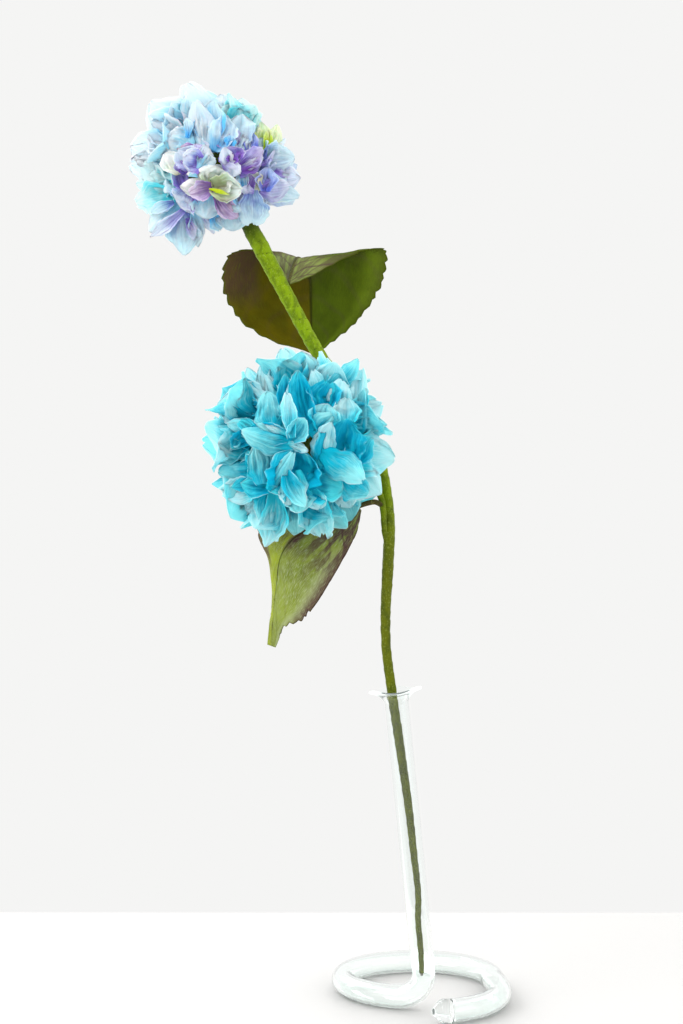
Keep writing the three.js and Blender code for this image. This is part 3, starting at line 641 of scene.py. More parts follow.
# Hung from the junction of the two stems, down and to the left, its tip folded into a long trough.
LOWER_LEAF = {
    "left_teeth": (0.3, 0.62, 8),
    "right_teeth": (0.66, 0.93, 5),
    "stalk": [
        (-22.8, -33.8, 300.8, 1.5), (-27.0, -34.2, 303.0, 1.6), (-31.5, -34.0, 302.4, 1.6),
        (-40, -31, 299.4, 1.4), (-50, -27.5, 295.6, 1.3),
    ],
    "belly": Vector((0.3, -0.95, 0)),
    "midrib": [
        (-37.5, -31.6, 300.3), (-49.0, -27, 295.8), (-59.4, -24, 291.5), (-69.8, -22, 285.4),
        (-79.0, -21, 278.7), (-84.5, -21, 270.1), (-86.9, -22, 255.5), (-88.7, -23, 237.2),
        (-90.4, -24, 215.4),
    ],
    "right": [
        (-35.5, -33.5, 298.0), (-38.1, -35, 285.3), (-43.0, -36, 275.0), (-50.6, -36, 261.2),
        (-57.0, -35.5, 250.5), (-64.5, -34.5, 239.0), (-71.5, -32.5, 231.0), (-81.8, -28, 226.6),
        (-87.6, -24.5, 214.6),
    ],
    "left": [
        (-38.6, -29.6, 301.6), (-54.6, -14, 304.6), (-73.1, -6, 303.4), (-88.6, -5, 300.3),
        (-99.5, -8, 293.2), (-98.3, -11, 281.1), (-92.5, -15, 268.6), (-89.8, -19, 246.3),
        (-92.6, -23.6, 216.2),
    ],
}

TOOTH_DEPTH = 1.9
LEAF_LENGTH = 105.0  # to which both leaves' grain is scaled


def tooth_bite(t, teeth, seed):
    """How far the edge is cut back: each tooth rises slowly and ends in a short step, no two alike."""
    start, end, count = teeth
    if not start < t < end:
        return 0.0
    at = (t - start) / (end - start) * count
    at += 0.35 * ripple(at * 0.9, seed, 1.0)
    phase = at % 1.0
    depth = TOOTH_DEPTH * (1 + 0.6 * ripple(math.floor(at) * 1.7, seed, 5.0))
    return depth * (1 - phase / 0.8 if phase < 0.8 else (phase - 0.8) / 0.2)


def leaf_blade(shape, seed):
    """The blade between its left edge, midrib and right edge, with veins pressed in and paper wrinkles.

    With each point go its place across and along the blade and its nearness to a vein, for the material.
    """
    rows, half = 132, 18
    grid, blade = [], []
    for r in range(rows + 1):
        t = r / rows
        left, middle, right = (curve_at(shape[name], t) for name in ("left", "midrib", "right"))
        row, marks = [], []
        for c in range(-half, half + 1):
            edge, teeth = (left, shape["left_teeth"]) if c < 0 else (right, shape["right_teeth"])
            width = (edge - middle).length
            across = abs(c) / half
            bite = tooth_bite(t, teeth, seed) * smoothstep(across, 0.72, 1.0)
            share = across * (1 - bite / max(width, 4))
            point = middle.lerp(edge, share)
            belly = math.sin(math.pi * share) * width * 0.09
            wander = 0.3 * ripple(t * 6, across * 2 + seed, 7.0)
            vein = abs(((t * 8 - across * 2.2 + 0.15 + wander) % 1.0) - 0.5) * 2
            relief = 0.35 * (smoothstep(vein, 0.0, 0.35) - 1) * smoothstep(across, 0.02, 0.2)
            relief += 0.9 * ripple(point.x * 0.09, point.y * 0.09 + seed, point.z * 0.09)
            relief += 0.35 * ripple(c * 0.55 + seed, t * 9, 2.0)
            relief *= smoothstep(t, 0.0, 0.08) * smoothstep(1 - t, 0.0, 0.05)
            row.append(point + shape["belly"] * (belly + relief))
            marks.append((c / half, t, vein))
        grid.append(row)
        blade.append(marks)
    return grid, blade


def leaf_crepe(name, papers, silver, brown):
    """Doubled florist crepe, dyed and brushed: matt, finely creased along its length, with dull veins.

    papers gives the dyes: left half, right half, near the stalk, brown brushwork, pale streaks and rim.
    silver and brown say how much of the pale streaking and of the brown brushwork there is.
    """
    left, right, base, brush, streak, rim = (linear(code) for code in papers)
    dark_dye_and_shade = linear("#161C00")
    finish = Finish(bpy.data.materials.new(name))
    place, paper = finish.add("place"), finish.add("paper")
    across, along, vein = finish.add("axes", finish.add("marks", attribute_name="blade"))
    side = finish.add("unsigned", across)
    creases = finish.grain(paper, (1500, 130, 1), 3.0)  # crepe creases 0.7 mm apart
    strokes = finish.grain(paper, (2800, 240, 1), 4.0)  # brush strokes 0.4 mm wide and 4 mm long
    clouds = finish.grain(place, (70, 70, 70), 4.0)  # uneven dye, about 15 mm across
    blots = finish.grain(paper, (190, 40, 1), 3.0)  # brown blots 5 mm wide and 25 mm long
    colour = finish.add("mix", finish.add("spread", across, -0.04, 0.04), left, right)
    # A painted highlight: a lighter band runs along the right half, where the blade turns up to the light.
    highlight_band = finish.window(across, 0.72, 0.95, 0.1)
    colour = finish.add("mix", finish.add("times", highlight_band, 0.4), colour, streak)
    colour = finish.add("mix", finish.add("spread", along, 0.44, 0.26), colour, base)
    deep = finish.add("mix", 0.6, colour, dark_dye_and_shade)
    colour = finish.add("mix", finish.add("spread", clouds, 0.35, 0.72, 0.0, 0.6), colour, deep)
    worn = finish.add("spread", strokes, 0.46, 0.66, 0.0, silver)
    worn = finish.add("times", worn, finish.add("spread", clouds, 0.3, 0.6, 0.5, 1.0))
    colour = finish.add("mix", worn, colour, streak)
    # Brown is brushed on in blots near the stalk, on the right margin, on the midrib and on the outer left.
    patches = finish.add("spread", blots, 0.44, 0.54)
    patches = finish.add("times", patches, finish.add("spread", along, 0.7, 0.25))
    margin = finish.add("spread", across, 0.7, 0.97, 0.0, min(1.0, 2 * silver))
    margin = finish.add("times", margin, finish.window(along, 0.15, 0.8, 0.1))
    fold = finish.window(across, -0.06, 0.1, 0.05)
    fold = finish.add("times", fold, finish.window(along, 0.3, 0.56, 0.08))
    strip = finish.window(across, -1.2, -0.6, 0.08)
    strip = finish.add("times", strip, finish.window(along, 0.3, 0.74, 0.06))
    brushed = finish.add("times", strip, 0.9)
    for part in (patches, margin, fold):
        brushed = finish.add("larger", brushed, part)
    thin = finish.add("spread", strokes, 0.75, 0.4, 0.4 * brown, brown)
    colour = finish.add("mix", finish.add("times", brushed, thin), colour, brush)
    colour = finish.add("mix", finish.add("spread", creases, 0.6, 0.85, 0.0, 0.4), colour, streak)
    veins = finish.add("spread", vein, 0.3, 0.0)
    veins = finish.add("times", veins, finish.add("spread", along, 0.5, 0.2, 0.12, 0.8))
    colour = finish.add("mix", veins, colour, brush)
    # The hanging part is creased sharply down its middle, and the crease is painted dark: painted shade in
    # the fold.
    crease_shade = finish.add("spread", side, 0.03, 0.0)
    crease_shade = finish.add("times", crease_shade, finish.add("spread", along, 0.3, 0.42, 0.0, 0.75))
    colour = finish.add("mix", crease_shade, colour, dark_dye_and_shade)
    colour = finish.add("mix", finish.add("spread", side, 0.96, 1.0, 0.0, 0.8), colour, rim)
    relief = finish.add("plus", creases, finish.add("times", strokes, 0.8))
    inputs = {
        "Base Color": colour,
        "Roughness": 0.6,
        "Specular IOR Level": 0.06,
        "Normal": finish.add("bump", 0.6, 0.0005, relief),
    }
    return finish.done(inputs)


def add_leaf(name, shape, sizes, material, tape, seed):
    """A leaf's blade, and its stalk with the midrib."""
    grid, blade = leaf_blade(shape, seed)
    rows, columns = len(grid) - 1, len(grid[0]) - 1
    span = max((row[0] - row[-1]).length for row in grid)

    def uv(r, c):
        return (c / columns - 0.5) * span * MM, r / rows * LEAF_LENGTH * MM

    sheet = Sheets()
    sheet.add(grid, uv=uv, blade=blade)
    piece = sheet.build(name, material)
    apply_modifier(piece, "SOLIDIFY", thickness=sizes.leaf_paper * MM, offset=0.0, use_even_offset=False)

    sides, rib_steps = 16, 90
    stalk = Sheets()
    points, _ = evenly_spaced(shape["stalk"], 0.8)
    frames = carried_frames([p.xyz for p in points], (0, 0, 1))
    rings = [ring_round(place, point.w, sides) for place, point in zip(frames, points)]
    marks = [[(tape_height(p), (i * 0.11) % 1.0, 0.0)] * sides for i, p in enumerate(points)]
    stalk.add_closed(rings, tape=marks)
    # The midrib is the same wire, under the paper from the stalk to near the tip, where it thins out.
    rib = [curve_at(shape["midrib"], i / rib_steps * 0.97) for i in range(rib_steps + 1)]
    radii = [mix(1.15, 0.15, smoothstep(i / rib_steps, 0.1, 0.62)) for i in range(rib_steps + 1)]
    rings = [ring_round(place, r, sides) for place, r in zip(carried_frames(rib, (0, 0, 1)), radii)]
    stalk.add_closed(rings, tape=[[(tape_height(p), 0.5, 0.0)] * sides for p in rib])
    return piece, stalk.build(name + "_stalk", tape)


class HYDRANGEA_OT_leaves(bpy.types.Operator):
    """Adds the two toothed leaves with their stalks and midribs"""

    bl_idname = "hydrangea.leaves"
    bl_label = "Leaves"

    def execute(self, context):
        sizes = context.scene.hydrangea_sizes
        dark_dyes = ("#5C5200", "#485806", "#8C9A50", "#50303A", "#6E8418", "#4A5400")
        silver_dyes = ("#9CAA2C", "#87953A", "#8E9A44", "#54383C", "#B9C29A", "#3A2818")
        dark = leaf_crepe("olive_leaf_crepe", dark_dyes, 0.1, 0.6)
        silver = leaf_crepe("silver_leaf_crepe", silver_dyes, 0.55, 1.0)
        rib_tape = floral_crepe_tape("dark_crepe_rib_tape", linear("#3E2E1C"), linear("#4E4A1C"))
        for name, shape, paper, slot, seed in (
            ("upper_leaf", UPPER_LEAF, dark, "dark_leaf_paper", 4.0),
            ("lower_leaf", LOWER_LEAF, silver, "silver_leaf_paper", 9.0),
        ):
            blade, stalk = add_leaf(name + "_blade", shape, sizes, paper, rib_tape, seed)
            settle(blade, slot, name)
            settle(stalk, "green_wrap")
        return {"FINISHED"}


# ---- Flower heads ---------------------------------------------------------------------------------------


def dyed_petal_crepe():
    """Fine petal crepe, dip-dyed: matt and a little see-through, streaked lengthwise, with paler rims."""
    finish = Finish(bpy.data.materials.new("dip_dyed_petal_crepe"))
    place, paper = finish.add("place"), finish.add("paper")
    across, along, faded = finish.add("axes", finish.add("marks", attribute_name="blade"))
    root, tip, rim = (finish.add("dye", attribute_name=zone + "_dye") for zone in ("root", "tip", "rim"))
    streaks = finish.grain(paper, (1300, 55, 1), 3.0)  # dye drawn along the grain, 0.8 mm wide
    creases = finish.grain(paper, (2600, 90, 1), 2.0)  # crepe creases 0.4 mm apart
    clouds = finish.grain(place, (85, 85, 85), 3.0)  # uneven dye, about 12 mm across
    fade = finish.add("plus", along, faded)
    for pattern, share in ((streaks, 0.8), (clouds, 1.3)):
        uneven = finish.add("times", finish.add("minus", pattern, 0.5), share)
        fade = finish.add("plus", fade, uneven)
    colour = finish.add("mix", finish.add("spread", fade, 0.2, 1.05), root, tip)
    side = finish.add("spread", finish.add("unsigned", across), 0.88, 1.0)
    edge = finish.add("larger", side, finish.add("spread", along, 0.93, 1.02))
    edge = finish.add("times", edge, finish.add("spread", clouds, 0.45, 0.7, 0.0, 0.5))
    inputs = {
        "Base Color": finish.add("mix", edge, colour, rim),
        "Roughness": 0.8,
        "Specular IOR Level": 0.1,
        "Subsurface Weight": 0.8,
        "Subsurface Radius": (0.7, 1.0, 1.0),
        "Subsurface Scale": 0.002,
        "Normal": finish.add("bump", 0.6, 0.0004, creases),
    }
    return finish.done(inputs)


# Torn edges: for waves, scallops and nicks in turn, their pace and their depth as a share of the petal.
TORN_SIDES = ((2.3, 0.3), (7.5, 0.2), (21, 0.06))
TORN_TIP = ((1.6, 0.2), (4.5, 0.18), (11.0, 0.05))
WIDEST = 0.55  # share of a petal's length at which it is widest
FLORET_CLAW, LAID_CLAW = 0.18, 0.42  # a petal's width where it starts, as a share of its widest
FLORET_GRID, LAID_GRID = (16, 6), (24, 10)  # rows of points, and columns on each side
STEM_CLEARANCE = 1.0


def torn(edge, at, side, phase):
    return sum(depth * ripple(at * pace, side, phase) for pace, depth in edge)


def half_width(petal, along, across, claw):
    """A petal's half width as a share of its widest, torn and stretched a little differently on each side."""
    point = petal["point"]
    if along < WIDEST:
        half = claw + (1 - claw) * math.sin(math.pi / 2 * along / WIDEST) ** 1.2
    else:
        s = (along - WIDEST) / (1.0 - WIDEST)
        taper = max(0.0, 1 - s) ** point * (1 + (1.05 * point - 0.25) * s)
        half = petal["blunt"] + (1 - petal["blunt"]) * taper
    side = 4.0 if across < 0 else 9.0
    return half * (1 + torn(TORN_SIDES, along, side, petal["phase"] * 7))


def petal_reach(petal, along, across, half):
    """The paper's upper edge is not cut straight, most of all where the tip is broad."""
    uneven = torn(TORN_TIP, across, 3.0, petal["phase"] * 5)
    return along * (1 + (uneven - 0.04) * along * along * half)


def paper_lift(petal, along, across):
    """How far the paper stands off its middle line, as a share of the petal's width."""
    rim, phase = abs(across), petal["phase"]
    lift = petal["cup"] * rim * rim * (1.3 - 0.5 * along)
    # The sides roll back, one more than the other.
    one_side = 0.5 + 0.5 * across * math.copysign(1.0, petal["turn"])
    roll = petal["roll"] * (0.3 + 1.4 * one_side)
    lift -= roll * smoothstep(rim, 0.5, 1.0) ** 1.5 * smoothstep(along, 0.2, 0.7)
    lift += petal["ruffle"] * math.sin(along * petal["waves"] + across * 2.5 + phase) * rim**3
    lift += petal["turn"] * across * along
    lift -= 0.05 * math.exp(-((across / 0.16) ** 2)) * (1 - 0.5 * along)
    # Lengthwise pleats of the stretched crepe, then softer dents.
    pleats = 0.3 - abs(ripple(across * 2.6 + phase * 3, along * 0.7, petal["waves"]))
    pleats -= 0.4 * abs(ripple(across * 6.0 + phase * 3, along * 1.5, petal["waves"]))
    dents = ripple(across * 1.8 + phase * 4, along * 3.4, petal["waves"])
    lift += (0.34 * pleats + 0.2 * dents) * smoothstep(along, 0.0, 0.5)
    # Where the petal narrows to its tip, its folds get smaller with it.
    return lift * (1 - (1 - petal["blunt"]) * smoothstep(along, 0.55, 1.0))


def petal_place(petal, along, across):
    """A floret petal's point beside, out from and up the floret's axis, in mm from where its claw starts."""
    bend = petal["tip_lean"] - petal["root_lean"]
    lean = petal["root_lean"] + bend * along
    length, width = petal["length"] * 1.05, petal["width"]
    out = length * (math.cos(petal["root_lean"]) - math.cos(lean)) / bend
    up = length * (math.sin(lean) - math.sin(petal["root_lean"])) / bend
    curl = petal["curl"] * smoothstep(along, 0.7, 1.0) * (0.5 + 0.5 * across * across)
    raised = width * along**0.6 * paper_lift(petal, along, across) - length * curl
    # A petal bent across its width draws its sides in.
    sideways = across * half_width(petal, along, across, FLORET_CLAW) * width / 2
    sideways *= 1 - 0.25 * abs(petal["cup"]) * across * across
    sideways += petal["sway"] * length * along * along
    return Vector((sideways, out - raised * math.cos(lean), up + raised * math.sin(lean)))


def floret_direction(round_degrees, off_degrees):
    """round counts in the viewer's picture with 0 right and 90 up; off is the angle away from the viewer."""
    a, b = math.radians(round_degrees), math.radians(off_degrees)
    return Vector((math.cos(a) * math.sin(b), -math.cos(b), math.sin(a) * math.sin(b)))


def floret_axes(head, floret):
    """The floret's axis, two directions across it and the place where its petals start."""
    axis = floret_direction(*floret[:2])
    reference = Vector((0, 0, 1)) if abs(axis.z) < 0.9 else Vector((1, 0, 0))
    sideways = reference.cross(axis).normalized()
    claw = head["middle"] + axis * (head["root_radius"] + head["claw_height"])
    return axis, sideways, axis.cross(sideways), claw


def stem_places():
    """The stems' middle lines as a search tree, with the radius at each of its points."""
    points = evenly_spaced(MAIN_STEM, 1.5)[0] + evenly_spaced(BRANCH_STEM, 1.5)[0]
    tree = kdtree.KDTree(len(points))
    for i, point in enumerate(points):
        tree.insert(point.xyz, i)
    tree.balance()
    return tree, [point.w for point in points]


def clear_of_stems(point, stems):
    """Paper that would cross a stem is bent round it."""
    tree, radii = stems
    middle, i, distance = tree.find(point)
    room = radii[i] + STEM_CLEARANCE
    if distance >= room:
        return point
    return middle + (point - middle).normalized() * room


def add_paper(paper, petal, point_at, size, dyes, stems):
    """One petal's grid of points, from its claw to its tip, with its outline on the grid's edge."""
    rows, half_columns = size
    columns = 2 * half_columns
    # Rows lie closer together towards the tip, where the outline turns most.
    steps = [1 - (1 - r / rows) ** 1.25 for r in range(rows + 1)]
    sides = [c / half_columns - 1 for c in range(columns + 1)]
    grid = [[clear_of_stems(point_at(along, across), stems) for across in sides] for along in steps]
    blade = [[(across, along, petal["fade"]) for across in sides] for along in steps]
    width, length, offset = petal["width"] * MM, petal["length"] * MM, petal["phase"]

    def uv(r, c):
        return (c / columns - 0.5 + offset) * width, (steps[r] + offset) * length

    paper.add(grid, uv=uv, blade=blade, root_dye=dyes[0], tip_dye=dyes[1], rim_dye=dyes[2])


def add_floret_petal(paper, petal, angle, axes, dyes, stems):
    axis, sideways, upward, claw = axes
    outward = sideways * math.cos(angle) + upward * math.sin(angle)
    beside = outward.cross(axis)

    def point_at(along, across):
        p = petal_place(petal, along, across)
        return claw + beside * p.x + outward * p.y + axis * p.z

    add_paper(paper, petal, point_at, FLORET_GRID, dyes, stems)


def finish_petals(paper, name, sizes, material):
    piece = paper.build(name, material)
    apply_modifier(piece, "SOLIDIFY", thickness=sizes.petal_paper * MM, offset=0.0, use_even_offset=False)
    return piece


def add_head(name, head, sizes, papers, material):
    """A head's florets all round: four petals to each, and in those at its edge and back two inner ones."""
    draw, extra = seeded_draws(head["seed"]), seeded_draws(head["seed"] + 100)
    stems = stem_places()
    paper = Sheets()
    for floret in head["florets"]:
        _, off, twist, dye, full = (*floret, 1.0)[:5]
        # The florets at the head's edge stay narrow, so that their petals point away from its middle.
        opening = mix(1.5, 0.62, smoothstep(off, 40, 85))
        # Those in front are small and flat, under the petals laid over them.
        size = full * mix(0.42, 1.0, smoothstep(off, 55, 88))
        axes = floret_axes(head, floret)
        for i in range(4):
            spread_draw = draw() - 0.5
            petal = {
                "length": head["petal_length"] * size * (0.94 + 0.16 * draw()),
                "width": head["petal_width"] * size * (0.92 + 0.2 * draw()) * 1.15,
                "root_lean": math.radians(26 + 8 * draw()) * opening,
                "tip_lean": math.radians(50 + 18 * draw() + 30 * (extra() - 0.5)) * opening,
                "cup": 0.2 + 0.14 * draw() + 0.2 * extra(),
                "ruffle": 0.05 * draw() + 0.02,
                "phase": 6.28 * draw(),
                "waves": 6 + 5 * extra(),
                "roll": 0.12 * extra(),
                "curl": 0.2 * (extra() - 0.45),
                "point": 0.6 + 0.6 * extra(),
                "turn": 0.22 * (extra() - 0.5),
                "sway": 0.16 * (extra() - 0.5),
                "fade": 0.35 * extra() - 0.2,
                "blunt": 0.2 * extra() * extra(),
            }
            angle = math.radians(twist) - (i + 0.04 * spread_draw + 0.2 * (extra() - 0.5)) / 4 * 2 * math.pi
            add_floret_petal(paper, petal, angle, axes, papers[dye], stems)
        for i in range(2 if off > 62 else 0):
            root_lean = 6 + 14 * extra()
            petal = {
                "length": head["petal_length"] * size * (0.62 + 0.3 * extra()),
                "width": head["petal_width"] * size * (0.7 + 0.25 * extra()),
                "root_lean": math.radians(root_lean),
                "tip_lean": math.radians(root_lean + 10 + 30 * extra()) * opening,
                "cup": 0.25 + 0.3 * extra(),
                "ruffle": 0.04,
                "phase": 6.28 * extra(),
                "waves": 8.0,
                "roll": 0.2 * extra(),
                "curl": 0.3 * (extra() - 0.4),
                "point": 0.7 + 0.4 * extra(),
                "turn": 0.4 * (extra() - 0.5),
                "sway": 0.3 * (extra() - 0.5),
                "fade": 0.3 * extra() - 0.25,
                "blunt": 0.1,
            }
            angle = math.radians(twist + 45 + 180 * i + 60 * extra())
            add_floret_petal(paper, petal, angle, axes, papers[dye], stems)
    return finish_petals(paper, name, sizes, material)


def seen_at(head, u, v, out):
    """The place that the camera sees at pixel u, v, out mm nearer to it than the head's middle."""
    y = head["middle"].y - out
    scale = (y - CAMERA_PLACE.y) / PIXEL_REACH
    x = CAMERA_PLACE.x + (u - PICTURE_MIDDLE[0]) * scale
    return Vector((x, y, CAMERA_PLACE.z - (v - PICTURE_MIDDLE[1]) * scale)), scale


def add_laid_petals(name, head, sizes, papers, material):
    """The petals that face the viewer, each laid where the bouquet shows it."""
    extra = seeded_draws(head["seed"] + 300)
    stems = stem_places()
    paper = Sheets()
    for dye, root_seen, tip_seen, width, cup, arch, point, fade in head["laid"]:
        root, _ = seen_at(head, *root_seen)
        tip, scale = seen_at(head, *tip_seen)
        length = (tip - root).length
        along_petal = (tip - root) / length
        view = (CAMERA_PLACE - root).normalized()
        face = (view - along_petal * view.dot(along_petal)).normalized()
        side = along_petal.cross(face)
        petal = {
            "length": length,
            "width": width * scale * 1.18,  # its folds draw it in again
            "cup": cup,
            "point": 0.4 + point,
            "blunt": 0.5 * extra() * extra(),
            "ruffle": 0.04 + 0.07 * extra(),
            "phase": 6.28 * extra(),
            "waves": 5 + 6 * extra(),
            "roll": 0.2 * extra() * extra(),
            "turn": 0.4 * (extra() - 0.5),
            "fade": fade + 0.24 * (extra() - 0.5),
        }
        sway, curl = 0.16 * (extra() - 0.5), 0.2 * (extra() - 0.5)

        def point_at(along, across):
            lift = petal["width"] * paper_lift(petal, along, across) * smoothstep(along + 0.3, 0.0, 0.7)
            lift += curl * length * smoothstep(along, 0.6, 1.0) ** 1.5
            hollow = arch * length * 4 * along * (1 - along)
            half = half_width(petal, along, across, LAID_CLAW)
            beside = across * half * petal["width"] / 2 * (1 - 0.2 * abs(cup) * across * across)
            beside += sway * length * 4 * along * (1 - along)
            forward = length * petal_reach(petal, along, across, half)
            return root + along_petal * forward + side * beside + face * (lift - hollow)

        add_paper(paper, petal, point_at, LAID_GRID, papers[dye], stems)
    return finish_petals(paper, name, sizes, material)


def add_stalks(name, head, sizes, material):
    """A wrapped wire stalk from the stem's end to each floret, with a small bead where the petals meet."""
    sides, steps = 8, 16
    stalks = Sheets()
    for number, floret in enumerate(head["florets"]):
        axis, sideways, _, claw = floret_axes(head, floret)
        start = head["hub"]
        bow = sideways * (2.5 * math.sin(number * 2.4))
        line = [start, start.lerp(claw, 0.4) + bow + axis * 1.5, claw - axis * 2, claw + axis * 1.2]
        points = [curve_at([(*p,) for p in line], i / steps) for i in range(steps + 1)]
        frames = carried_frames(points, (0.3, 0.2, 0.9))
        swell = [sizes.stalk_radius * (1 + 1.1 * smoothstep(i / steps, 0.66, 0.9)) for i in range(steps + 1)]
        rings = [ring_round(place, r, sides) for place, r in zip(frames, swell)]
        rings += [ring_round(frames[-1], swell[-1] * s, sides, a) for s, a in ((0.8, 0.7), (0.3, 1.1))]
        last = len(rings) - 1
        marks = [[(0.4 * i / last, (i * 0.31) % 1.0, 0.0)] * sides for i in range(last + 1)]
        stalks.add_closed(rings, tape=marks)
    # The stalks are bound together at the head's middle in a lumpy ball of tape.
    around, levels = 28, 16
    ball = []
    for level in range(levels + 1):
        lean = math.pi * (0.04 + 0.92 * level / levels)
        ring = []
        for i in range(around):
            turn = 2 * math.pi * i / around
            way = Vector((math.sin(lean) * math.cos(turn), math.sin(lean) * math.sin(turn), -math.cos(lean)))
            ring.append(head["middle"] + way * (head["root_radius"] * (1.0 + 0.25 * ripple(*(way * 2.5)))))
        ball.append(ring)
    stalks.add_closed(ball, tape=[[(0.2, level * 0.37 % 1.0, 0.0)] * around for level in range(levels + 1)])
    return stalks.build(name, material)


